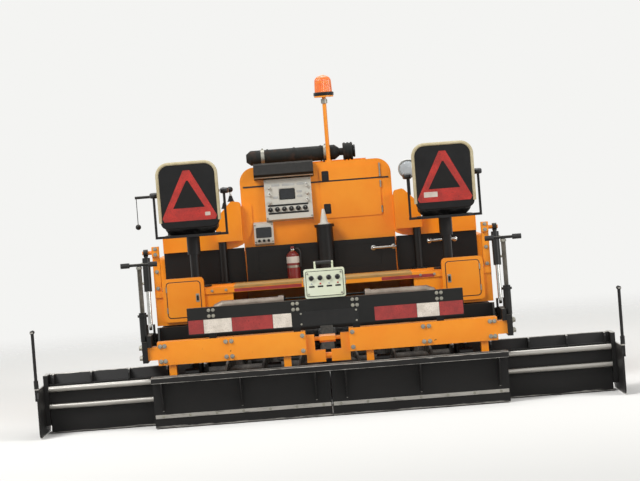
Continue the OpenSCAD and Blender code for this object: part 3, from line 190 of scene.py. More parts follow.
# Rubber: matt, IOR 1.5, with dust in soft patches of about 80 mm and a grain of about 3 mm.
dress(weathered("scuffed_rubber", "#1B1A19", "#57504A", (12, 6, 0.65), (0.42, 0.66), (0.62, 0.95), (300, 3),
                (0.5, 0.0015), {"IOR": 1.5}), *both("track"))

# ---- Undercarriage and frame ----
# Welded plate sprayed with black chassis enamel, and cast wheels under a film of oil and road
# grit. The enamel is dull low down, where asphalt and dust stick to it.


def sprayed_enamel(name, colour, faded, shine=0.36, dusting=0.5, tar=0.5, gloss=0.5):
    """Sprayed enamel: faded in broad patches, dusted where it faces up, spotted with asphalt below 0.95 m."""
    made, tree, at = finish(name)
    broad = add(tree, "TexNoise", {"Vector": at, "Scale": 2.2, "Detail": 5.0, "Roughness": 0.6})
    fine = add(tree, "TexNoise", {"Vector": at, "Scale": 55.0, "Detail": 4.0, "Roughness": 0.7})
    fading = add(tree, "MapRange", {"Value": broad, "From Min": 0.35, "From Max": 0.7})
    base = add(tree, "Mix", {"Factor": fading, "A": colour, "B": faded}, data_type="RGBA")
    facing = add(tree, "SeparateXYZ", {0: add(tree, "NewGeometry").outputs["Normal"]}).outputs["Z"]
    upward = add(tree, "MapRange", {"Value": facing, "From Min": 0.3, "From Max": 1.0, "To Max": dusting})
    cloud = add(tree, "MapRange", {"Value": fine, "From Min": 0.3, "From Max": 0.65})
    settled = add(tree, "Math", {0: upward, 1: cloud}, operation="MULTIPLY")
    dusted = add(tree, "Mix", {"Factor": settled, "A": base, "B": "#8B8272"}, data_type="RGBA")
    height = add(tree, "SeparateXYZ", {0: at}).outputs["Z"]
    low = add(tree, "MapRange", {"Value": height, "From Min": 0.95, "From Max": 0.1, "To Max": tar})
    drops = add(tree, "TexNoise", {"Vector": at, "Scale": 38.0, "Detail": 3.0, "Roughness": 0.5})
    spread = add(tree, "Math", {0: drops, 1: low}, operation="ADD")
    spots = add(tree, "MapRange", {"Value": spread, "From Min": 0.93, "From Max": 1.0})
    rough = add(tree, "MapRange", {"Value": settled, "From Max": 0.5, "To Min": shine, "To Max": 0.8})
    peel = add(tree, "TexNoise", {"Vector": at, "Scale": 260.0, "Detail": 2.0})
    return coat(made, {
        "Base Color": add(tree, "Mix", {"Factor": spots, "A": dusted, "B": "#141210"}, data_type="RGBA"),
        "Roughness": add(tree, "Math", {0: rough, 1: spots}, operation="MAXIMUM"),
        "Specular IOR Level": gloss,
        "Normal": add(tree, "Bump", {"Height": peel, "Strength": 0.25, "Distance": 0.0006})})


# The chassis black, #0E0E0D to #1C1B19, is drawn darker than the enamel, partly as painted shade over the shaded
# machine.
shade_darkened_chassis_black = sprayed_enamel("shade_darkened_chassis_enamel", "#0E0E0D", "#1C1B19", dusting=0.3, tar=0.35, gloss=0.3)
dress(shade_darkened_chassis_black, "track_frames", "side_frames", "frame_deck", "rear_beam", "hopper_rear_wall", "hopper_front",
      "guide_bar", "rear_bar", *both("wing_barrel", "lift_barrel", "tow_arm"))
# The dash is drawn near black as painted shade: its wall across the footwell stands for the shade under the dash shelf.
# The seat posts are real black enamel.
dash_shade_and_post_black = sprayed_enamel("dash_shade_and_post_black_enamel", "#0C0C0C", "#161514", dusting=0.1, tar=0.2, gloss=0.3)
dress(dash_shade_and_post_black, "dash", "seat_posts")

# Cast iron: dark, metallic under oil and grit, with a sand-cast grain of about 4 mm.
dress(weathered("oily_cast_iron", "#2B2926", "#5E574E", (18, 5), (), (0.45, 0.8), (220, 2), (0.4, 0.001),
                {"Metallic": 0.6}), "track_wheels", "engine_block")

# ---- Hopper, conveyors and augers ----
# Wear plate polished by hot mix and filmed with asphalt: bare and streaked where the mix
# slides, black and gummy where it rests. The cylinders' rods are hard-chromed.


def hot_mix_steel():
    """Steel rubbed bright along Y by the mix, under a ragged black film that thins over about 200 mm."""
    made, tree, at = finish("hot_mix_steel")
    drawn = add(tree, "Mapping", {"Vector": at, "Scale": (40.0, 2.5, 40.0)})
    streak = add(tree, "TexNoise", {"Vector": drawn, "Scale": 3.0, "Detail": 5.0})
    patch = add(tree, "TexNoise", {"Vector": at, "Scale": 4.5, "Detail": 10.0, "Roughness": 0.78})
    film = add(tree, "MapRange", {"Value": patch, "From Min": 0.30, "From Max": 0.60, "To Min": 0.15})
    bare = add(tree, "Mix", {"Factor": streak, "A": "#4E4943", "B": "#8A8279"}, data_type="RGBA")
    lumps = add(tree, "TexNoise", {"Vector": at, "Scale": 90.0, "Detail": 4.0})
    raised = add(tree, "Math", {0: lumps, 1: film}, operation="MULTIPLY")
    return coat(made, {
        "Base Color": add(tree, "Mix", {"Factor": film, "A": bare, "B": "#191715"}, data_type="RGBA"),
        "Metallic": add(tree, "MapRange", {"Value": film, "To Min": 0.9, "To Max": 0.0}),
        "Roughness": add(tree, "MapRange", {"Value": film, "To Min": 0.38, "To Max": 0.72}),
        "Normal": add(tree, "Bump", {"Height": raised, "Strength": 0.6, "Distance": 0.003})})


dress(hot_mix_steel(), "conveyor_floor", "conveyor", *both("wing", "auger", "push_roller"))

# Hard chrome on a ground rod: bright and smooth, with a faint oil haze along it.
chrome = weathered("hard_chrome", "#9F9E9A", "#C2C1BD", (30, 2), (), (0.12, 0.3), inputs={"Metallic": 1.0})
dress(chrome, *both("wing_rod", "lift_rod"))

# ---- Cowl, hood, tanks and platform ----
# Pressed sheet sprayed in the machine's orange-yellow enamel, sun-faded on top and specked
# with asphalt near the screed.
orange = sprayed_enamel("orange_machine_enamel", "#F08A0C", "#F59A20", shine=0.3, dusting=0.28, tar=0.34)
dress(orange, "cowl", "hood", "tanks", "platform", "arm_brackets", "consoles", "screed_beam")

# ---- Seats ----
# Two operator seats that swivel on their posts: black vinyl sewn over foam with welted edges,
# on a moulded back shell with a pale rubber trim pressed round its edge.


def moulded(name, clean, chalked, shine=0.45, grain=350, metal=0.0, gloss=0.5):
    """Moulded or lightly textured skin: chalked in patches of about 100 mm, with a spark grain of about 3 mm."""
    return weathered(name, clean, chalked, (10, 6, 0.65), (0.36, 0.7), (shine - 0.1, shine + 0.15), (grain, 2),
                     (0.25, 0.0006), {"Metallic": metal, "Specular IOR Level": gloss})


def reflective_sheet(name, colour, deep):
    """Reflective sheeting: glossy film over a honeycomb of beads, 9 mm cells here so that they show."""
    made, tree, at = finish(name)
    cells = add(tree, "TexVoronoi", {"Vector": at, "Scale": 110.0}, feature="DISTANCE_TO_EDGE")
    rib = add(tree, "MapRange", {"Value": cells, "From Max": 0.08})
    grime = add(tree, "TexNoise", {"Vector": at, "Scale": 14.0, "Detail": 6.0})
    dirt = add(tree, "MapRange", {"Value": grime, "From Min": 0.4, "From Max": 0.75, "To Max": 0.7})
    base = add(tree, "Mix", {"Factor": rib, "A": deep, "B": colour}, data_type="RGBA")
    return coat(made, {
        "Base Color": add(tree, "Mix", {"Factor": dirt, "A": base, "B": deep}, data_type="RGBA"),
        "Roughness": add(tree, "MapRange", {"Value": grime, "To Min": 0.2, "To Max": 0.6}),
        "Coat Weight": 0.4})


def set_down(name, points, faces, made, body, sharp=None):
    """A mesh of points and faces in one finish, riding on a body, smooth but for edges past sharp degrees."""
    mesh = bpy.data.meshes.new(name)
    mesh.from_pydata(np.reshape(points, (-1, 3)).tolist(), [], faces)
    mesh.materials.append(made)
    if sharp:
        mesh.shade_smooth()
        mesh.set_sharp_from_angle(angle=math.radians(sharp))
    piece = bpy.data.objects.new(name, mesh)
    bpy.context.collection.objects.link(piece)
    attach(piece, body)
    return piece


def cut_outline(name, outline, lo, hi, plane, made, body="tractor", bevel=0.0):
    """A flat outline carried straight from lo to hi: plane "xz" along Y, "yz" along X and "xy" along Z.

    The corners of the two end faces are the outline's points, and each side is one quad between them."""
    flat = np.asarray(outline, float)
    area = np.sum(flat[:, 0] * np.roll(flat[:, 1], -1) - np.roll(flat[:, 0], -1) * flat[:, 1])
    flat = flat if area > 0 else flat[::-1]
    k = np.arange(len(flat))
    after, up_one = np.roll(k, -1), len(flat)
    faces = np.stack([k, after, after + up_one, k + up_one], 1).tolist() + [k[::-1].tolist(), (k + up_one).tolist()]
    if plane == "xz":
        faces = [face[::-1] for face in faces]
    across, upward = np.vstack([flat, flat]).T
    depth = np.repeat([lo, hi], len(flat))
    order = {"xz": (across, depth, upward), "yz": (depth, across, upward), "xy": (across, upward, depth)}[plane]
    piece = set_down(name, np.stack(order, 1), faces, made, body)
    if bevel:
        edge = piece.modifiers.new("edge", "BEVEL")
        edge.width, edge.segments, edge.limit_method = bevel, 2, "ANGLE"
    return piece


def round_box(lo, hi, radius, steps=8):
    """A rectangle whose corners, from the lowest left one round, are quarter circles of the given radius."""
    radii = np.broadcast_to(np.asarray(radius, float), 4)
    corner = np.array([[lo[0], lo[1]], [hi[0], lo[1]], [hi[0], hi[1]], [lo[0], hi[1]]], float)
    inward = np.array([[1, 1], [-1, 1], [-1, -1], [1, -1]])
    angle = np.pi * np.array([1, 1.5, 0, 0.5])[:, None] + np.linspace(0, np.pi / 2, steps + 1)
    quarter = radii[:, None, None] * np.stack([np.cos(angle), np.sin(angle)], -1)
    return ((corner + inward * radii[:, None])[:, None] + quarter).reshape(-1, 2)


def plate(name, a, b, radius, made, body="tractor", bevel=0.0, steps=8, plane="xz"):
    """A plate with rounded corners in that plane, between two opposite corners of its box."""
    lo, hi = np.sort([a, b], axis=0)
    i, j, k = {"xz": (0, 2, 1), "yz": (1, 2, 0), "xy": (0, 1, 2)}[plane]
    outline = round_box((lo[i], lo[j]), (hi[i], hi[j]), radius, steps)
    return cut_outline(name, outline, lo[k], hi[k], plane, made, body, bevel)


def walls(index):
    """Quads from each closed row of point numbers to the next."""
    a, b = index[:-1], index[1:]
    return np.stack([a, np.roll(a, -1, 1), np.roll(b, -1, 1), b], -1).reshape(-1, 4).tolist()


def lids(index):
    """The two end faces of closed rows of point numbers."""
    return [index[0, ::-1].tolist(), index[-1].tolist()]


def drawn_along(name, path, radius, made, body="tractor", around=16):
    """A round section of that radius carried along a path of points, closed with a flat at each end.

    Ring i is path_i + radius * (cos a * u_i + sin a * v_i), u_i and v_i square to the path's direction there."""
    path = np.asarray(path, float)
    ahead = np.gradient(path, axis=0)
    ahead /= np.linalg.norm(ahead, axis=1)[:, None]
    u = np.cross(ahead, np.eye(3)[np.argmin(np.abs(ahead).max(0))])
    u /= np.linalg.norm(u, axis=1)[:, None]
    v = np.cross(ahead, u)
    angle = np.arange(around)[:, None] * 2 * np.pi / around
    rings = path[:, None] + radius * (np.cos(angle) * u[:, None] + np.sin(angle) * v[:, None])
    index = np.arange(len(path) * around).reshape(-1, around)
    return set_down(name, rings, walls(index) + lids(index), made, body, 50)


def powered(base, power):
    """A power that keeps the sign of its base."""
    return np.sign(base) * np.abs(base) ** power


def pillow(name, centre, half, made, body, square=0.3, soft=0.55, rows=23, around=64):
    """A closed cushion: point (a, b) is centre + (hx * C * cos a ^ square, hy * C * sin a ^ square, hz * sin b ^ soft).

    C is cos b ^ soft, every power keeps the sign of its base, and the two poles are one point each."""
    b = np.linspace(-np.pi / 2, np.pi / 2, rows + 2)[1:-1, None]
    a = np.arange(around) * 2 * np.pi / around
    c = powered(np.cos(b), soft)
    grid = np.broadcast_arrays(half[0] * c * powered(np.cos(a), square), half[1] * c * powered(np.sin(a), square),
                               half[2] * powered(np.sin(b), soft))
    points = np.vstack([np.stack(grid, -1).reshape(-1, 3), [(0, 0, -half[2]), (0, 0, half[2])]]) + centre
    index = np.arange(rows * around).reshape(rows, around)
    foot, head = np.full(around, index.size), np.full(around, index.size + 1)
    fans = [np.stack([np.roll(index[0], -1), index[0], foot], 1),
            np.stack([index[-1], np.roll(index[-1], -1), head], 1)]
    pad = set_down(name, points, walls(index) + np.vstack(fans).tolist(), made, body)
    pad.data.shade_smooth()
    return pad


def plumped(pad, cap, voxel=0.006, pressure=4.0, frames=20):
    """Blows a pad up as sewn cloth: remeshed, frames of Cloth under pressure, no point moving past cap."""
    skin = pad.data.materials[0]
    remesh = pad.modifiers.new("remesh", "REMESH")
    remesh.mode, remesh.voxel_size = "VOXEL", voxel
    pad.data = bpy.data.meshes.new_from_object(pad.evaluated_get(bpy.context.evaluated_depsgraph_get()))
    pad.modifiers.clear()
    before = np.empty(len(pad.data.vertices) * 3)
    pad.data.vertices.foreach_get("co", before)
    cloth = pad.modifiers.new("cloth", "CLOTH")
    cloth.settings.use_pressure = True
    cloth.settings.uniform_pressure_force = pressure
    cloth.settings.effector_weights.gravity = 0.0
    for k in range(frames):
        bpy.context.scene.frame_set(k + 1)
    after = np.empty_like(before)
    pad.evaluated_get(bpy.context.evaluated_depsgraph_get()).data.vertices.foreach_get("co", after)
    bpy.context.scene.frame_set(1)
    pad.modifiers.clear()
    step = (after - before).reshape(-1, 3)
    far = np.linalg.norm(step, axis=1)[:, None]
    step *= np.minimum(1.0, cap / np.maximum(far, 1e-9))
    pad.data.vertices.foreach_set("co", before + step.ravel())
    pad.data.materials.clear()
    pad.data.materials.append(skin)
    pad.data.shade_smooth()
    finer = pad.modifiers.new("finer", "SUBSURF")
    finer.levels = finer.render_levels = 1


def tipped(piece, pivot, degrees):
    """Turns a piece's mesh about the line along X through pivot."""
    there = Matrix.Translation(pivot)
    piece.data.transform(there @ Matrix.Rotation(math.radians(degrees), 4, "X") @ there.inverted())


# Coated vinyl: satin black with a pebbled grain of about 2 mm, worn greyer in patches where people sit.
vinyl = weathered("grained_vinyl", "#161617", "#34322F", (9, 5), (0.45, 0.75), (0.36, 0.62), (480,), (0.5, 0.0012),
                  kind="TexVoronoi")
seat_shell = moulded("moulded_black_abs", "#0D0D0E", "#171718", shine=0.4, gloss=0.3)
trim_rubber = moulded("pale_edge_rubber", "#B2A47F", "#C9BE9E", shine=0.55)
board_red = reflective_sheet("red_reflective_sheet", "#C4261A", "#7A120C")
board_black = moulded("screened_black_ink", "#0A0909", "#131110", shine=0.5, gloss=0.3)
label_film = moulded("blank_label_film", "#D8CCC0", "#BFB2A7")
powder_coat = sprayed_enamel("black_powder_coat", "#111112", "#1D1D1D", shine=0.42, dusting=0.35, tar=0.1, gloss=0.3)
dress(powder_coat, *both("seat_frame"))

sides = (("left", -1), ("right", 1))
seat_y, foot_y, foot_z, lean = -0.84, -1.03, 1.35, 8.0
board_y, board_z, film = foot_y - 0.0425, foot_z + 0.055, 0.0008
border = np.array([(-0.184, 0.0), (0.184, 0.0), (0.197, 0.026), (0.024, 0.366), (-0.024, 0.366), (-0.197, 0.026)])
inner = np.array([(-0.114, 0.094), (0.114, 0.094), (0.006, 0.292), (-0.006, 0.292)])
label_at = {"left": (0.112, 0.150, 0.030, 0.056), "right": (-0.150, -0.052, 0.036, 0.074)}
for side, s in sides:
    body, x = "seat_" + side, s * 0.92
    cushion = pillow("seat_cushion_" + side, (x, seat_y + 0.035, 1.353), (0.205, 0.195, 0.04), vinyl, body)
    back_pad = pillow("seat_back_pad_" + side, (0, 0, 0), (0.19, 0.205, 0.03), vinyl, body)
    stand = Matrix.Translation((x, foot_y + 0.012, foot_z + 0.25)) @ Matrix.Rotation(math.pi / 2, 4, "X")
    back_pad.data.transform(stand)
    tipped(back_pad, (0, foot_y, foot_z), lean)
    for pad in (cushion, back_pad):
        plumped(pad, 0.022)
        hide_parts(body)
    outline = round_box((x - 0.212, foot_z), (x + 0.212, foot_z + 0.474), (0.05, 0.05, 0.085, 0.085))
    shell = cut_outline("seat_shell_" + side, outline, foot_y - 0.04, foot_y - 0.012, "xz", seat_shell, body, 0.006)
    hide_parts(body)
    over_top = np.insert(np.vstack([outline[17:], outline[:1]]), 1, foot_y - 0.038, axis=1)
    back_pieces = [
        shell, drawn_along("seat_trim_" + side, over_top, 0.0115, trim_rubber, body),
        cut_outline("slow_board_border_" + side, border + (x, board_z), board_y, board_y + 0.0025, "xz", board_red,
                    body),
        cut_outline("slow_board_centre_" + side, inner + (x, board_z), board_y - film, board_y, "xz", board_black,
                    body)]
    x0, x1, z0, z1 = label_at[side]
    back_pieces.append(plate("blank_label_" + side, (x + x0, board_y - film, board_z + z0),
                             (x + x1, board_y, board_z + z1), 0.004, label_film, body))
    for piece in back_pieces:
        tipped(piece, (0, foot_y, foot_z), lean)
    for arm in (-1, 1):
        rest = pillow("armrest_" + side + "_" + ("outer" if arm == s else "inner"),
                      (x + arm * 0.255, seat_y - 0.02, 1.597), (0.03, 0.158, 0.021), vinyl, body, 0.35, 0.5)

# ---- Control panels ----
# Folded steel boxes in pale grey enamel, screwed to the cowl's rear face: a display behind
# glass, phenolic knobs, chromed toggle switches and blank engraved label strips.


def leaning(z, foot, head):
    """Y of a leaning face at height z: the straight line from foot (y, z) to head (y, z)."""
    return foot[0] + (z - foot[1]) * (head[0] - foot[0]) / (head[1] - foot[1])


def ring_of(count, axis):
    """Points at equal steps round a unit circle square to a unit axis: cos a * u + sin a * v."""
    side = np.cross(axis, (0, 0, 1) if abs(axis[2]) < 0.9 else (1, 0, 0))
    u = side / np.linalg.norm(side)
    angle = np.arange(count) * 2 * np.pi / count
    return np.cos(angle)[:, None] * u + np.sin(angle)[:, None] * np.cross(axis, u)


def turned(name, profile, foot, along, made, body="tractor", around=40, smooth=True):
    """A profile of (radius, distance) points turned about a line from foot in the direction along.

    Point j of ring i is foot + d_i * along + r_i * (cos a_j * u + sin a_j * v), u and v square to along, and a
    ring of radius 0 is one point."""
    profile = np.asarray(profile, float)
    axis = np.asarray(along, float) / np.linalg.norm(along)
    points = foot + profile[:, 1, None, None] * axis + profile[:, 0, None, None] * ring_of(around, axis)
    index = np.arange(len(profile) * around).reshape(-1, around)
    for row in (0, -1):
        if profile[row, 0] == 0:
            index[row] = index[row, 0]
    faces = [list(dict.fromkeys(quad)) for quad in walls(index)]
    faces = [face for face in faces + lids(index) if len(set(face)) > 2]
    used, remade = np.unique(np.concatenate(faces), return_inverse=True)
    cuts = np.cumsum([len(face) for face in faces])[:-1]
    faces = [face.tolist() for face in np.split(remade, cuts)]
    return set_down(name, points.reshape(-1, 3)[used], faces, made, body, 35 if smooth else None)


pale_enamel = sprayed_enamel("pale_grey_enamel", "#BDBCB2", "#CFCEC5", shine=0.4, dusting=0.2, tar=0.1)
dress(pale_enamel, "control_panel")
knob_black = moulded("black_phenolic", "#0C0C0D", "#171616", shine=0.3, gloss=0.35)
anodised = moulded("clear_anodised_aluminium", "#A9A9A6", "#BDBDBA", shine=0.4, metal=0.9)
zinc = moulded("zinc_plated_steel", "#8E8C84", "#A7A496", shine=0.42, metal=0.85)
# Toughened glass over an unlit display: near black, very smooth, IOR 1.52, with a film of dust.
glass = weathered("display_glass", "#06070A", "#22262B", (40, 5), (), (0.05, 0.28), inputs={"IOR": 1.52})

up, back = (0, 0, 1), (0, -1, 0)
big_panel, small_panel = ((-0.412, 1.350), (-0.388, 1.650)), ((-0.392, 1.180), (-0.378, 1.330))
plate("display_gasket", (-0.2755, -0.3925, 1.4945), (-0.1595, -0.389, 1.5755), 0.008, knob_black, bevel=0.001)
plate("display_glass", (-0.268, -0.3945, 1.501), (-0.167, -0.3925, 1.569), 0.004, glass)
knob = [(0, 0), (0.0185, 0), (0.0185, 0.004), (0.015, 0.006), (0.0135, 0.0215), (0.0115, 0.0235), (0, 0.024)]
for k, x in enumerate(np.arange(-0.350, -0.080, 0.052)):
    turned(f"selector_knob_{k}", knob, (x, leaning(1.425, *big_panel), 1.425), back, knob_black, around=24)
    plate(f"selector_mark_{k}", (x - 0.0013, -0.4325, 1.427), (x + 0.0013, -0.4305, 1.436), 0.0012, pale_enamel,
          steps=3)
toggle = [(0, 0), (0.0115, 0), (0.0115, 0.005), (0.0062, 0.0058), (0.0062, 0.012), (0.0034, 0.0135), (0.0028, 0.030),
          (0.0048, 0.036), (0.0038, 0.0405), (0, 0.0415)]
for row, (side, x) in enumerate((("left", -0.350), ("right", -0.070))):
    for k, z in enumerate((1.480, 1.535, 1.590)):
        thrown = (0, -0.92, 0.39 if (k + row) % 2 else -0.39)
        turned(f"toggle_{side}_{k}", toggle, (x, leaning(z, *big_panel) - 0.004, z), thrown, chrome, around=16)
for k, (x, z, wide) in enumerate(((-0.366, 1.390, 0.30), (-0.366, 1.448, 0.30), (-0.330, 1.596, 0.06),
                                  (-0.250, 1.596, 0.09), (-0.140, 1.596, 0.05), (-0.322, 1.506, 0.035),
                                  (-0.145, 1.506, 0.04), (-0.145, 1.540, 0.04))):
    high = 0.013 if wide > 0.2 else 0.016
    y = leaning(z + high / 2, *big_panel)
    plate(f"blank_label_{k}", (x, y - 0.0022, z), (x + wide, y + 0.002, z + high), 0.003,
          knob_black if k < 2 else anodised, steps=4)


def hex_bolts(name, places, facing, across, body="tractor", made=zinc, washer=True):
    """Hexagon heads on washers, all one mesh: rows of (radius, distance) carried out from every place.

    A head's rows are six points at 60 degrees, and a washer's are 16."""
    out = np.asarray(facing, float)
    head, base = across / math.sqrt(3), 0.12 * across if washer else 0.0
    shapes = [(6, [(head, base), (head, base + 0.52 * across), (0.82 * head, base + 0.6 * across)])]
    if washer:
        shapes.append((16, [(0.7 * across, 0.0), (0.7 * across, base)]))
    points, faces, count = [], [], 0
    for place in places:
        for around, rows in shapes:
            radius, far = np.array(rows).T[:, :, None, None]
            points.append((place + far * out + radius * ring_of(around, out)).reshape(-1, 3))
            index = count + np.arange(len(rows) * around).reshape(-1, around)
            faces += walls(index) + lids(index)
            count += index.size
    set_down(name, np.vstack(points), faces, made, body)


def corners(xs, y, zs):
    """Every place at a height of zs and at an x of xs, at that y."""
    return [(x, y, z) for x in xs for z in zs]


def panel_screws(name, panel, xs, zs, across):
    """Screws at every x and height, half a millimetre clear of a leaning panel's face."""
    hex_bolts(name, [(x, leaning(z, *panel) - 0.0005, z) for x in xs for z in zs], back, across)


panel_screws("panel_screws", big_panel, (-0.376, -0.044), (1.362, 1.640), 0.010)
y = leaning(1.26, *small_panel)
plate("gauge_window", (-0.470, y - 0.006, 1.222), (-0.356, y + 0.006, 1.300), 0.008, glass, bevel=0.0015)
panel_screws("small_panel_screws", small_panel, (-0.476, -0.349), (1.192, 1.318), 0.009)
for k, x in enumerate((-0.450, -0.415, -0.380)):
    turned(f"small_knob_{k}", [(0, 0), (0.011, 0), (0.010, 0.016), (0.008, 0.018), (0, 0.018)],
           (x, leaning(1.200, *small_panel), 1.200), back, knob_black, around=20)

# ---- Beacon, lamp and muffler ----
# A flashing beacon with a fluted amber lens on an orange pole, a round work lamp with a glass
# front, and a heat-blackened muffler held by steel bands beside the air pre-cleaner.
dress(orange, "beacon")
# Amber polycarbonate: glossy, deep orange, IOR 1.58, hazed in soft patches of about 40 mm.
amber = weathered("amber_polycarbonate", "#E8590A", "#FF8A1E", (25, 3), (), (0.12, 0.3),
                  inputs={"IOR": 1.58, "Coat Weight": 0.5})


def fluted_lens(name, foot, profile, flutes, depth, made):
    """A turned lens with upright flutes: radius r_i * (1 - depth * (1 - cos(flutes * a)) / 2) at angle a."""
    rows = np.asarray(profile, float)
    a = np.arange(flutes * 6) * 2 * np.pi / (flutes * 6)
    swell = 1 - depth * (1 - np.cos(flutes * a)) / 2
    ring = np.stack([np.cos(a) * swell, np.sin(a) * swell, np.zeros(len(a))], 1)
    points = rows[:, 0, None, None] * ring + rows[:, 1, None, None] * up + foot
    index = np.arange(len(rows) * len(a)).reshape(-1, len(a))
    set_down(name, points, walls(index) + lids(index), made, "tractor", 50)


def sleeve(inner, outer, length, chamfer=0.001):
    """Profile of a sleeve or band: straight outside, falling to the inner radius over a chamfer at each end."""
    return [(inner, 0), (outer, chamfer), (outer, length - chamfer), (inner, length)]


beacon_foot = np.array((0.110, -0.320, 2.2665))
dome = [(0.066, 0.0), (0.0655, 0.004), (0.0635, 0.06), (0.062, 0.082)]
dome += [(0.062 * math.cos(t * 0.97) + 0.001, 0.082 + 0.05 * math.sin(t)) for t in np.linspace(0, math.pi / 2, 9)[1:]]
fluted_lens("beacon_lens", beacon_foot, dome, 28, 0.05, amber)
collar = [(0, 0), (0.074, 0), (0.076, 0.004), (0.076, 0.022), (0.073, 0.026), (0.066, 0.026), (0, 0.026)]
turned("beacon_collar", collar, beacon_foot - (0, 0, 0.022), up, knob_black, around=48)
turned("beacon_pole_clamp", sleeve(0.0155, 0.024, 0.035), beacon_foot - (0, 0, 0.08), up, zinc, around=32)

lamp_grey = moulded("grey_lamp_housing", "#6E7072", "#8A8C8D", shine=0.4)
dress(lamp_grey, "lamps")


def fluted_glass():
    """Pressed lamp glass: pale and glossy, with bars 8 mm apart pressed into it."""
    made, tree, at = finish("pressed_lamp_glass")
    bars = add(tree, "TexWave", {"Vector": at, "Scale": 40.0}, bands_direction="X").outputs["Fac"]
    return coat(made, {
        "Base Color": add(tree, "Mix", {"Factor": bars, "A": "#7E858A", "B": "#D5DADC"}, data_type="RGBA"),
        "Roughness": 0.08, "IOR": 1.52,
        "Normal": add(tree, "Bump", {"Height": bars, "Strength": 0.5, "Distance": 0.002})})


lamp_glass = fluted_glass()
lamp_face = (0.690, -0.434, 1.652)
arc = [(0.058 * math.cos(t), 0.004 + 0.010 * math.sin(t)) for t in np.linspace(0, math.pi / 2, 7)[:-1]]
bezel = [(0.0585, -0.002), (0.0705, -0.002), (0.0715, 0.004), (0.0695, 0.0075), (0.0605, 0.0075), (0.0585, 0.004)]
turned("work_lamp_glass", [(0.058, 0)] + arc + [(0, 0.014)], lamp_face, back, lamp_glass, around=48)
turned("work_lamp_bezel", bezel, lamp_face, back, chrome, around=48)

# Mild steel blackened by heat: dull, with brown scale in blotches of about 60 mm.
blackened = weathered("heat_blackened_steel", "#111310", "#3B2A20", (16, 7, 0.7), (0.5, 0.72), (0.5, 0.9), (160, 4),
                      (0.5, 0.0015), {"Specular IOR Level": 0.3})
dress(blackened, "muffler")
pipe_y, pipe_z, band_xs = -0.240, 1.820, (-0.394, 0.076)
for k, x in enumerate(band_xs):
    turned(f"muffler_band_{k}", sleeve(0.0565, 0.0595, 0.028), (x, pipe_y, pipe_z), (1, 0, 0), zinc, around=48)
hex_bolts("muffler_band_bolts", [(x + 0.014, pipe_y, pipe_z + 0.0595) for x in band_xs], up, 0.012)
foot_bolts = [(x, y, 1.7500) for x in (-0.412, 0.122) for y in (pipe_y - 0.022, pipe_y + 0.022)]
hex_bolts("muffler_foot_bolts", foot_bolts, up, 0.014)
turned("pre_cleaner_bowl", [(0, 0), (0.040, 0), (0.046, 0.004), (0.048, 0.012), (0.044, 0.018), (0, 0.019)],
       (0.296, pipe_y, pipe_z), (1, 0, 0), knob_black)

# ---- Consoles and pedestal ----
# Chromed levers with black knobs in rubber boots on the left console, a black stalk under the
# work lamp, and a steel pedestal with a pale moulded cone on it.
boot_rubber = moulded("moulded_boot_rubber", "#131313", "#262524", shine=0.6)
bellows = [(0.0235 - 0.0125 * t + 0.0022 * math.cos(t * 10 * math.pi), 0.004 + 0.040 * t)
           for t in np.linspace(0, 1, 21)]
bellows = [(0, 0), (0.026, 0), (0.026, 0.004)] + bellows + [(0.0072, 0.046), (0, 0.046)]
ball = [(0.0218 * math.sin(t) + 0.0004, -0.0218 * math.cos(t)) for t in np.linspace(0.3, math.pi, 12)[:-1]]
lever_y, lever_top = -0.380, 1.600
for k, x in enumerate((-0.740, -0.690, -0.640)):
    foot = 1.215 + min(0.296, 0.170 + (0.765 + x) * 1.016)
    turned(f"lever_boot_{k}", bellows, (x, lever_y, foot - 0.002), up, boot_rubber, around=28)
    turned(f"lever_stem_{k}", sleeve(0.0072, 0.0076, lever_top - foot - 0.031), (x, lever_y, foot + 0.02), up, chrome,
           around=20)
    turned(f"lever_knob_{k}", [(0, ball[0][1])] + ball + [(0, 0.0222)], (x, lever_y, lever_top), up, knob_black,
           around=28)
turned("lamp_stalk_cover", sleeve(0.0112, 0.0125, 0.129), (0.690, -0.380, 1.458), up, powder_coat, around=24)
cone_white = moulded("pale_cone_polythene", "#D8D6CE", "#C3C0B4", shine=0.5)
cone = [(0, 0), (0.046, 0), (0.046, 0.006), (0.030, 0.010), (0.011, 0.108), (0.008, 0.114), (0, 0.115)]
turned("pedestal_cone", cone, (0.040, -0.450, 1.290), up, cone_white)

# ---- Visor strip, door seal and latches ----
# A bright edge strip pressed on the visor, the black rubber seal between the cowl's doors, and
# the doors' paddle latches and pin hinges.
visor_lip = [(-0.4416, 1.6636), (-0.4433, 1.6627), (-0.4475, 1.6707), (-0.4458, 1.6716)]
cut_outline("visor_strip", visor_lip, -0.452, -0.013, "yz", anodised)
plate("door_seal", (-0.545, -0.3548, 1.6005), (0.545, -0.3502, 1.6115), 0.004, boot_rubber, bevel=0.001, steps=4)
for k, z in enumerate((1.645, 1.400)):
    plate(f"latch_plate_{k}", (0.049, -0.3600, z - 0.038), (0.101, -0.3575, z + 0.038), 0.008, powder_coat,
          bevel=0.0008)
    plate(f"latch_paddle_{k}", (0.061, -0.3655, z - 0.028), (0.089, -0.3598, z + 0.016), 0.006, knob_black,
          bevel=0.0015)


def hinge_pin(name, foot, length, radius=0.005, around=14):
    """An upright zinc-plated pin: a cylinder whose two ends rise 0.5 mm to the middle."""
    turned(name, [(0, 0), (radius, 0.0005), (radius, length - 0.0005), (0, length)], foot, up, zinc, around=around)


for k, z in enumerate((1.344, 1.534, 1.614, 1.664)):
    hinge_pin(f"door_hinge_{k}", (0.482, -0.3600, z), 0.052, 0.006, 16)

# ---- Fire extinguisher ----
# A red powder-coated steel bottle in a strap, with a chromed gauge, a short stiff nozzle moulded
# in black rubber, and a blank band.


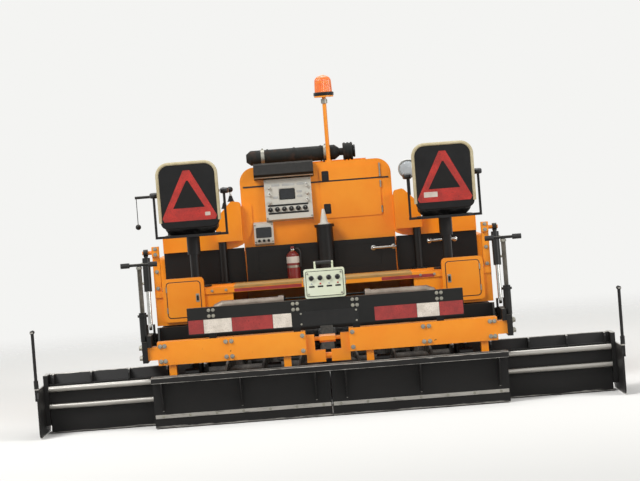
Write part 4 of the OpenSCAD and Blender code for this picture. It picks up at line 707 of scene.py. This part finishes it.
def curved(points, steps=8):
    """A smooth path through the points: Catmull-Rom, each span a cubic of its four nearest points."""
    p = np.asarray(points, float)
    p = np.vstack([2 * p[0] - p[1], p, 2 * p[-1] - p[-2]])
    t = np.linspace(0, 1, steps, endpoint=False)[None, :, None]
    a, b, c, d = (p[k:len(p) - 3 + k, None] for k in range(4))
    spans = 0.5 * (2 * b + (c - a) * t + (2 * a - 5 * b + 4 * c - d) * t ** 2 + (3 * b - a - 3 * c + d) * t ** 3)
    return np.vstack([spans.reshape(-1, 3), p[-2]])


# Gloss powder coat: deep red, a little orange-peeled at about 4 mm, dusty in patches.
dress(weathered("red_gloss_powder_coat", "#7A0F0D", "#6B4A40", (26, 6), (0.45, 0.75, 0.5), (0.18, 0.5), (250, 1),
                (0.15, 0.0006), {"Coat Weight": 0.4}), "extinguisher")
dial_face = moulded("white_dial_face", "#D9D8D2", "#CBCAC4", shine=0.5)
bottle_x, bottle_y = -0.210, -0.422
for part, z, high, paint in (("strap", 0.985, 0.018, zinc), ("blank_band", 1.020, 0.048, dial_face)):
    turned("extinguisher_" + part, sleeve(0.0482, 0.0490, high, 0.0005), (bottle_x, bottle_y, z), up, paint)
turned("extinguisher_gauge", [(0, 0), (0.013, 0), (0.013, 0.006), (0.010, 0.008), (0, 0.008)],
       (bottle_x, bottle_y - 0.014, 1.118), back, chrome, around=24)
nozzle = [(-0.196, -0.422, 1.122), (-0.170, -0.430, 1.124), (-0.154, -0.440, 1.100), (-0.153, -0.446, 1.050),
          (-0.156, -0.446, 0.990)]
drawn_along("extinguisher_nozzle", curved(nozzle), 0.0062, boot_rubber, around=12)

# ---- Platform edge and rear bar ----
# Tan anti-slip mats on the floor, red reflective strips on the lip, red and white tape in
# lengths along the black bar, and a blank black plate screwed to its middle.

# Anti-slip coating: sand set in tan epoxy, the grains drawn 4 mm wide so that they show.
tan_mat = weathered("sanded_epoxy_mat", "#B98D48", "#94784D", (7, 6), (0.4, 0.7), (), (260,), (0.7, 0.002),
                    {"Roughness": 0.85}, "TexVoronoi")
for side, s in sides:
    plate("floor_mat_" + side, (s * 0.150, -1.108, 0.9048), (s * 0.640, -0.560, 0.9080), 0.02, tan_mat, plane="xy")
    plate("lip_edge_" + side, (s * 0.150, -1.1240, 0.8925), (s * 0.640, -1.1215, 0.9075), 0.003, tan_mat, steps=3)
tape_white = reflective_sheet("white_reflective_tape", "#E6DCCF", "#B4A99A")
tape_red = reflective_sheet("red_reflective_tape", "#A82A26", "#6E1512")
for k, (x0, x1) in enumerate(((-0.640, -0.155), (0.420, 0.800))):
    plate(f"lip_reflector_{k}", (x0, -1.1228, 0.8655), (x1, -1.1218, 0.8885), 0.003, tape_red, steps=3)
bar_y, plate_y = -1.9549, -1.9580
tape_spans = ((-0.945, -0.842), (-0.840, -0.648), (-0.646, -0.366), (-0.364, -0.236), (0.336, 0.626), (0.628, 0.780),
              (0.782, 0.945))
for k, (x0, x1) in enumerate(tape_spans):
    plate(f"bar_tape_{k}", (x0, bar_y - 0.0009, 0.628), (x1, bar_y, 0.722), 0.002, (tape_red, tape_white)[k % 2],
          "screed", steps=3)
plate_black = moulded("stove_enamelled_plate", "#0D0D0E", "#191817", shine=0.35, gloss=0.35)
plate("blank_bar_plate", (-0.185, plate_y, 0.626), (0.225, bar_y, 0.726), 0.008, plate_black, "screed", 0.0008)
hex_bolts("bar_plate_screws", corners((-0.170, 0.210), plate_y, (0.640, 0.712)), back, 0.010, "screed")
bolt_xs = [s * x for s in (-1, 1) for x in (0.190, 0.220, 0.770, 0.800)]
hex_bolts("bar_bolts", corners(bolt_xs, -1.9550, (0.745, 0.785)), back, 0.018, "screed")

# ---- Heat box ----
# A pale cream-green steel box for the screed's burners: a gasketed front, four black knobs,
# pilot lamps, blank strips, a rubber-gripped handle and over-centre clips.
dress(sprayed_enamel("cream_green_enamel", "#CDD3B6", "#D9DDC8", shine=0.38, dusting=0.2, tar=0.05), "heat_box")
box_y = -1.9832
heat_knob = [(0, 0), (0.0175, 0), (0.0175, 0.004), (0.0145, 0.006), (0.013, 0.0175), (0.011, 0.019), (0, 0.0195)]
pilot = [(0, 0), (0.006, 0), (0.006, 0.003), (0.0045, 0.006), (0, 0.0068)]
for k, x in enumerate((-0.080, -0.020, 0.040, 0.100)):
    turned(f"heat_knob_{k}", heat_knob, (x, box_y, 0.950), back, knob_black, "screed", 24)
    turned(f"heat_pilot_{k}", pilot, (x, box_y, 0.9105), back, board_red if k % 2 else lamp_glass, "screed", 16)
    plate(f"heat_label_{k}", (x - 0.019, box_y - 0.001, 0.886), (x + 0.019, box_y + 0.0004, 0.897), 0.002, plate_black,
          "screed", steps=3)
plate("heat_gasket", (-0.119, -1.9760, 0.824), (0.139, -1.9742, 0.998), 0.012, boot_rubber, "screed")
hex_bolts("heat_box_screws", corners((-0.104, 0.124), -1.9830, (0.840, 0.982)), back, 0.010, "screed")
turned("heat_grip", sleeve(0.0092, 0.0118, 0.110, 0.002), (-0.045, -1.905, 1.052), (1, 0, 0), boot_rubber, "screed", 24)
for k, (x, out) in enumerate(((-0.1305, -0.006), (0.1505, 0.006))):
    plate(f"box_clip_{k}", (x, -1.955, 0.900), (x + out, -1.925, 0.950), 0.006, zinc, "screed", 0.001, plane="yz")

# ---- Rear pipes and hydraulic lines ----
# Galvanised rails along the back, and a bundle of drawn steel hydraulic lines in clips under
# the platform's lip.
dress(moulded("galvanised_pipe", "#7C7167", "#A09588", shine=0.5, grain=120, metal=0.55), "rear_pipes")
line_steel = moulded("phosphated_steel_line", "#2A2B2A", "#474743", shine=0.4, metal=0.7)
for k in range(5):
    left, right, low_z = -0.62 + 0.05 * k, 0.605 - 0.04 * k, 0.668
    z, y = 0.700 + 0.022 * k, -1.088 + 0.012 * (k % 2)
    route = [(left, low_z), (left + 0.005, z - 0.012), (left + 0.04, z), (-0.2, z), (0.2, z), (right - 0.045, z),
             (right - 0.005, z - 0.012), (right, low_z)]
    drawn_along(f"hydraulic_line_{k}", curved(np.insert(route, 1, y, axis=1), 6), 0.0075, line_steel, around=12)
for k, x in enumerate((-0.30, 0.0, 0.30)):
    plate(f"line_clamp_{k}", (x - 0.015, -1.108, 0.664), (x + 0.015, -1.066, 0.806), 0.006, knob_black, bevel=0.002)

# ---- Screed, extensions and end gates ----
# Welded plate in black enamel, drawn near black partly as painted shade, rubbed to bare steel along the sole, the lips
# and the upper edges by shovels and boots; at the walkway's lower edge the bare steel is a painted highlight. The
# extensions run on hard-chromed guide tubes.


def shade_dark_plate_with_bright_bands(name, edges, tubes=False):
    """Black enamel, drawn near black partly as painted shade, bare within reach of each height in edges (height,
    reach), where a streaked noise lets it through; the walkway's band at 0.120 m is a painted highlight.

    With tubes, whatever lies within 21 mm of the two guide tubes' centre lines is hard chrome."""
    made, tree, at = finish(name)
    broad = add(tree, "TexNoise", {"Vector": at, "Scale": 3.0, "Detail": 6.0, "Roughness": 0.65})
    # The black, #0B0B0B to #1C1A19, is darker than the enamel: partly painted shade, matched to the screed standing in
    # shade.
    base = add(tree, "Mix", {"Factor": broad, "A": "#0B0B0B", "B": "#1C1A19"}, data_type="RGBA")
    height = add(tree, "SeparateXYZ", {0: at}).outputs["Z"]
    band = None
    for level, reach in edges:
        off = add(tree, "Math", {0: height, 1: level}, operation="SUBTRACT")
        off = add(tree, "Math", {0: off}, operation="ABSOLUTE")
        near = add(tree, "MapRange", {"Value": off, "From Min": reach, "From Max": 0.0})
        band = near if band is None else add(tree, "Math", {0: band, 1: near}, operation="MAXIMUM")
    drawn = add(tree, "Mapping", {"Vector": at, "Scale": (3.0, 14.0, 40.0)})
    streak = add(tree, "TexNoise", {"Vector": drawn, "Scale": 2.0, "Detail": 7.0, "Roughness": 0.7})
    summed = add(tree, "Math", {0: band, 1: 0.55, 2: streak}, operation="MULTIPLY_ADD")
    metal = add(tree, "MapRange", {"Value": summed, "From Min": 0.76, "From Max": 0.92})
    if tubes:
        flat = add(tree, "VectorMath", {0: at, 1: (0.0, 1.0, 1.0)}, operation="MULTIPLY")
        for level in (0.190, 0.310):
            away = add(tree, "VectorMath", {0: flat, 1: (0.0, -1.740, level)}, operation="DISTANCE")
            inside = add(tree, "Math", {0: away, 1: 0.021}, operation="LESS_THAN")
            metal = add(tree, "Math", {0: metal, 1: inside}, operation="MAXIMUM")
    steel = add(tree, "Mix", {"Factor": streak, "A": "#8E8A83", "B": "#CFCCC6"}, data_type="RGBA")
    rough = add(tree, "MapRange", {"Value": broad, "To Min": 0.3, "To Max": 0.62})
    lumps = add(tree, "TexNoise", {"Vector": at, "Scale": 140.0, "Detail": 4.0})
    return coat(made, {
        "Base Color": add(tree, "Mix", {"Factor": metal, "A": base, "B": steel}, data_type="RGBA"),
        "Metallic": metal, "Roughness": add(tree, "Mix", {0: metal, 2: rough, 3: 0.34}), "Specular IOR Level": 0.3,
        "Normal": add(tree, "Bump", {"Height": lumps, "Strength": 0.35, "Distance": 0.0012})})


dress(shade_dark_plate_with_bright_bands("shade_dark_screed_plate", ((0.0, 0.03), (0.335, 0.006))), "screed_body")
# The walkway's band at 0.120 m is a painted highlight: bare steel drawn along the lit lower edge of its rear plate.
dress(shade_dark_plate_with_bright_bands("shade_dark_walkway_plate_lit_edge", ((0.361, 0.012), (0.321, 0.005), (0.120, 0.008))), "walkway")
dress(shade_dark_plate_with_bright_bands("shade_dark_extension_plate", ((0.0, 0.026), (0.410, 0.010)), tubes=True), *both("extension"))
dress(shade_dark_plate_with_bright_bands("shade_dark_gate_plate", ((0.0, 0.03), (0.340, 0.008), (0.730, 0.012))), *both("end_gate"))
bare_steel = shade_dark_plate_with_bright_bands("shovel_polished_steel", ((0.083, 0.09),))
for side, s in sides:
    plate("rub_rail_" + side, (s * 0.008, -2.0065, 0.070), (s * 1.214, -1.9998, 0.096), 0.003, bare_steel, "screed",
          0.0012, 3)
    rail_bolts = corners(s * np.linspace(0.06, 1.16, 7), -2.0063, (0.083,))
    hex_bolts("rub_rail_bolts_" + side, rail_bolts, back, 0.014, "screed")
    beam_xs = s * np.array((0.172, 0.660, 0.700, 1.120, 1.150))
    hex_bolts("beam_bolts_" + side, corners(beam_xs, -1.9600, (0.458, 0.562)), back, 0.022, "screed")
    arm_bolts = [(s * 1.273, y, z) for y in (-1.965, -1.875) for z in (0.490, 0.560)]
    hex_bolts("arm_bolts_" + side, arm_bolts, (s, 0, 0), 0.030, "screed")
    hex_bolts("tow_pin_bolt_" + side, [(s * 1.293, 0.250, 0.470)], (s, 0, 0), 0.036)

# ---- Depth screws and cranks ----
# Oiled steel screws with a square thread, turned by a cross bar with rubber grips; the thread is
# drawn as ridges 7 mm apart.


def ribbed(radius, rib, ribs, steps, start, length):
    """Profile of a rubber grip: radius + rib * |sin(ribs * pi * t)| at start + length * t, t from 0 to 1."""
    return [(radius + rib * abs(math.sin(t * ribs * math.pi)), start + length * t)
            for t in np.linspace(0, 1, steps + 1)]


oiled = moulded("oiled_screw_steel", "#4A4640", "#7C766C", shine=0.35, metal=0.85)
screw_x, screw_y, thread_pitch = 1.255, -1.920, 0.0070
ridge = [(r, thread_pitch * k + z) for k in range(43)
         for r, z in ((0.0142, 0.0), (0.0142, 0.0028), (0.0166, 0.0034), (0.0166, 0.0064))]
crank_grip = [(0, 0)] + ribbed(0.0164, 0.0024, 9, 36, 0.001, 0.062) + [(0, 0.064)]
gate_grip = [(0, 0)] + ribbed(0.0112, 0.0022, 12, 48, 0, 0.088) + [(0, 0.088)]
nut_r = 0.018 / math.cos(math.pi / 6)
hexagon = [(nut_r * math.cos(t), nut_r * math.sin(t)) for t in np.arange(6) * math.pi / 3]
for side, s in sides:
    x = s * screw_x
    turned("screw_thread_" + side, [(0, 0)] + ridge + [(0, 0.301)], (x, screw_y, 0.801), up, oiled, "screed", 20)
    for k, off in enumerate((-0.127, 0.063)):
        turned(f"crank_grip_{side}_{k}", crank_grip, (x + off, screw_y, 1.130), (1, 0, 0), boot_rubber, "screed", 24)
    cut_outline("screw_nut_" + side, np.add(hexagon, (x, screw_y)), 1.100, 1.118, "xy", zinc, "screed", 0.0015)
    turned("gate_grip_" + side, gate_grip, (s * 2.006, -2.114, 0.730), (0, 1, 0), boot_rubber, "end_gate_" + side, 20)

# ---- Tanks and boxes ----
# Moulded black filler caps, box doors with rubber seals, paddle latches and hinges, and the zinc
# bolts of the posts and of the floor's lip.
filler_cap = [(0, 0), (0.0552, 0), (0.0570, 0.002), (0.0570, 0.020), (0.0535, 0.026), (0.030, 0.029), (0, 0.030)]
for side, s in sides:
    turned("filler_cap_" + side, filler_cap, (s * 1.060, 0.530, 1.1925), up, knob_black, around=36)
    near, far, edge, x = s * 0.885, s * 1.122, s * 0.006, s * 0.905
    plate("box_door_" + side, (near, -1.1392, 0.712), (far, -1.1358, 0.962), 0.022, orange, bevel=0.0015, steps=6)
    plate("box_door_seal_" + side, (near - edge, -1.1368, 0.706), (far + edge, -1.1356, 0.968), 0.026, boot_rubber,
          steps=6)
    plate("box_latch_plate_" + side, (x - 0.013, -1.1412, 0.815), (x + 0.013, -1.1390, 0.875), 0.006, zinc,
          bevel=0.0006)
    plate("box_latch_paddle_" + side, (x - 0.008, -1.1440, 0.825), (x + 0.008, -1.1410, 0.862), 0.004, knob_black,
          bevel=0.001)
    for k, z in enumerate((0.745, 0.895)):
        hinge_pin(f"box_hinge_{side}_{k}", (s * 1.126, -1.1395, z), 0.040)
    post_bolts = [(s * 1.185, y, z) for y, z in ((-1.140, 1.175), (-1.140, 1.215), (-1.110, 0.93), (-1.110, 1.05))]
    hex_bolts("post_bolts_" + side, post_bolts, back, 0.020)
    hex_bolts("floor_lip_bolts_" + side, corners((s * 0.70, s * 0.80), -1.1220, (0.884,)), back, 0.014)

# ---- Screens, latches and small hardware ----
# Perforated black sheet behind every cooling slot, over-centre latches on the hood, and the
# bolts of the push beam, the hopper's wall and the tow plates, and the end gates' studs.


def perforated_sheet():
    """Punched black steel: holes 7 mm wide 12 mm apart, as a cubic lattice of dots cut by the sheet's own plane, each
    hole painted near black as the shade behind it.
    """
    made, tree, at = finish("perforated_black_sheet")
    lattice = add(tree, "TexVoronoi", {"Vector": at, "Scale": 83.0, "Randomness": 0.0})
    shaded_hole = add(tree, "MapRange", {"Value": lattice, "From Min": 0.52, "From Max": 0.60})
    dust = add(tree, "TexNoise", {"Vector": at, "Scale": 14.0, "Detail": 5.0})
    web = add(tree, "Mix", {"Factor": dust, "A": "#232220", "B": "#4C4740"}, data_type="RGBA")
    # The holes' #050505 is painted shade.
    return coat(made, {
        "Base Color": add(tree, "Mix", {"Factor": shaded_hole, "A": "#050505", "B": web}, data_type="RGBA"),
        "Roughness": 0.6, "Normal": add(tree, "Bump", {"Height": shaded_hole, "Strength": 0.8, "Distance": 0.002})})


screen = perforated_sheet()
for side, s in sides:
    x0, x1 = s * 0.5525, s * 0.5560
    plate("hood_screen_" + side, (x0, 0.025, 1.350), (x1, 0.560, 1.570), 0.01, screen, "hood", plane="yz")
    plate("cowl_screen_" + side, (x0, 0.025, 1.135), (x1, 0.605, 1.288), 0.01, screen, plane="yz")
    x0, x1 = s * 0.5648, s * 0.5695
    for k, y in enumerate((0.145, 0.445)):
        plate(f"hood_latch_{side}_{k}", (x0, y - 0.012, 1.232), (x1, y + 0.012, 1.294), 0.006, zinc, bevel=0.001,
              plane="yz")
        plate(f"hood_keeper_{side}_{k}", (x0, y - 0.010, 1.306), (x1, y + 0.010, 1.316), 0.003, zinc, "hood", 0.001,
              plane="yz")
    beam_bolts = corners((s * 0.665, s * 0.700), 1.9800, (0.360, 0.445, 0.530))
    hex_bolts("push_beam_bolts_" + side, beam_bolts, (0, 1, 0), 0.026)
    wall_bolts = corners(s * np.array((0.62, 0.80, 1.00, 1.17)), 0.6895, (0.985,))
    hex_bolts("hopper_wall_bolts_" + side, wall_bolts, back, 0.016)
    tow_bolts = [(s * 1.2280, y, z) for y in (0.115, 0.385) for z in (0.630, 0.745)]
    hex_bolts("tow_plate_bolts_" + side, tow_bolts, (s, 0, 0), 0.026)
    studs = [(s * 2.0185, y, 0.180) for y in (-1.670, -1.560)]
    hex_bolts("gate_studs_" + side, studs, (s, 0, 0), 0.024, "extension_" + side, washer=False)
plate("radiator_screen", (-0.480, 0.6780, 1.035), (0.480, 0.6815, 1.270), 0.01, screen)

# ---- Stainless rails on the dash wall ----
# Short polished tubes with flanged feet, screwed to the wall under the right console, whose black is painted shade.
flange = [(0, 0), (0.019, 0), (0.019, 0.003), (0.0105, 0.006), (0, 0.006)]
for k, (x0, x1, z, y) in enumerate(((0.395, 0.545, 1.085, -0.366), (0.815, 1.005, 1.105, -0.312))):
    bends = [(x0, y, z), (x0, y - 0.030, z), (x0 + 0.012, y - 0.040, z), (x1 - 0.012, y - 0.040, z),
             (x1, y - 0.030, z), (x1, y, z)]
    drawn_along(f"dash_rail_{k}", curved(bends, 5), 0.0095, chrome, around=20)
    for n, x in enumerate((x0, x1)):
        turned(f"dash_rail_foot_{k}_{n}", flange, (x, y + 0.0005, z), back, chrome, around=24)

# ---- Track pins and wheel hubs ----
# Hardened pins that join the chain's links, one beside each shoe, and on the wheels bolted hub
# covers with a grease nipple in the middle.
hub_black = moulded("greased_hub_cover", "#1C1B1A", "#35302B", metal=0.5)
track_x, pin_r, sprocket_y, idler_y, axle_z = 1.060, 0.2733 - 0.022, -0.780, 1.080, 0.3133
straight = sprocket_y + (np.arange(13) + 0.5) * (idler_y - sprocket_y) / 13
turn = (np.arange(6) + 0.5) * np.pi / 6
loop = np.vstack([np.column_stack([straight, np.full(13, axle_z - pin_r)]),
                  np.column_stack([idler_y + pin_r * np.sin(turn), axle_z - pin_r * np.cos(turn)]),
                  np.column_stack([straight, np.full(13, axle_z + pin_r)]),
                  np.column_stack([sprocket_y - pin_r * np.sin(turn), axle_z - pin_r * np.cos(turn)])])
angle = np.arange(8) * np.pi / 4
bolt_ring = np.column_stack([sprocket_y + 0.056 * np.cos(angle), axle_z + 0.056 * np.sin(angle)])
idler_hub = [(0, 0), (0.046, 0), (0.046, 0.006), (0.036, 0.013), (0.008, 0.015), (0.006, 0.023), (0, 0.024)]
roller_hub = [(0, 0), (0.030, 0), (0.030, 0.004), (0.022, 0.009), (0.005, 0.010), (0.004, 0.015), (0, 0.0155)]
for side, s in sides:
    for face, f in (("in", -1), ("out", 1)):
        tag, out = f"{side}_{face}", (f, 0, 0)
        pins = np.insert(loop, 0, s * track_x + f * 0.060, axis=1)
        hex_bolts("track_pins_" + tag, pins, out, 0.020, made=hub_black, washer=False)
        ring = np.insert(bolt_ring, 0, s * track_x + f * 0.070, axis=1)
        hex_bolts("sprocket_bolts_" + tag, ring, out, 0.018)
        turned("idler_hub_" + tag, idler_hub, (s * track_x + f * 0.064, idler_y, axle_z), out, hub_black, around=28)
        for k in range(5):
            turned(f"roller_hub_{tag}_{k}", roller_hub, (s * track_x + f * 0.069, -0.450 + 0.300 * k, 0.1295), out,
                   hub_black, around=20)

# ---- Tank hatches ----
# Zinc-plated paddle latches and pin hinges, riveted to the hatches pressed into the tanks' sides.
for side, s in sides:
    for k, (y, hinge_y) in enumerate(((0.030, -0.232), (0.466, 0.622))):
        plate(f"tank_latch_plate_{side}_{k}", (s * 1.2038, y - 0.014, 0.860), (s * 1.2062, y + 0.014, 0.930), 0.006,
              zinc, bevel=0.0006, plane="yz")
        plate(f"tank_latch_paddle_{side}_{k}", (s * 1.2060, y - 0.009, 0.872), (s * 1.2092, y + 0.009, 0.914), 0.004,
              knob_black, bevel=0.001, plane="yz")
        for n, z in enumerate((0.760, 0.980)):
            hinge_pin(f"tank_hinge_{side}_{k}_{n}", (s * 1.2060, hinge_y, z), 0.050)

# ---- Lift cylinders' ports ----
# Forged ports on each lift cylinder's barrel, joined by a short hard line of zinc-plated tube
# that is brazed along it.
down = np.array((0.0, -0.132164, -0.991228))
port = [(0, 0), (0.011, 0), (0.011, 0.009), (0.008, 0.011), (0, 0.011)]
for side, s in sides:
    head, body = np.array((s * 1.255, -1.110, 1.190)), "lift_cylinder_" + side
    route = [head + far * down + (s * out, 0, 0) for far, out in ((0.075, 0.030), (0.075, 0.040), (0.092, 0.042),
                                                                  (0.200, 0.042), (0.217, 0.040), (0.217, 0.030))]
    drawn_along("lift_line_" + side, curved(route, 5), 0.0045, zinc, body, 12)
    for k, far in enumerate((0.075, 0.217)):
        turned(f"lift_port_{side}_{k}", port, head + far * down + (s * 0.026, 0, 0), (s, 0, 0), zinc, body, 6, False)
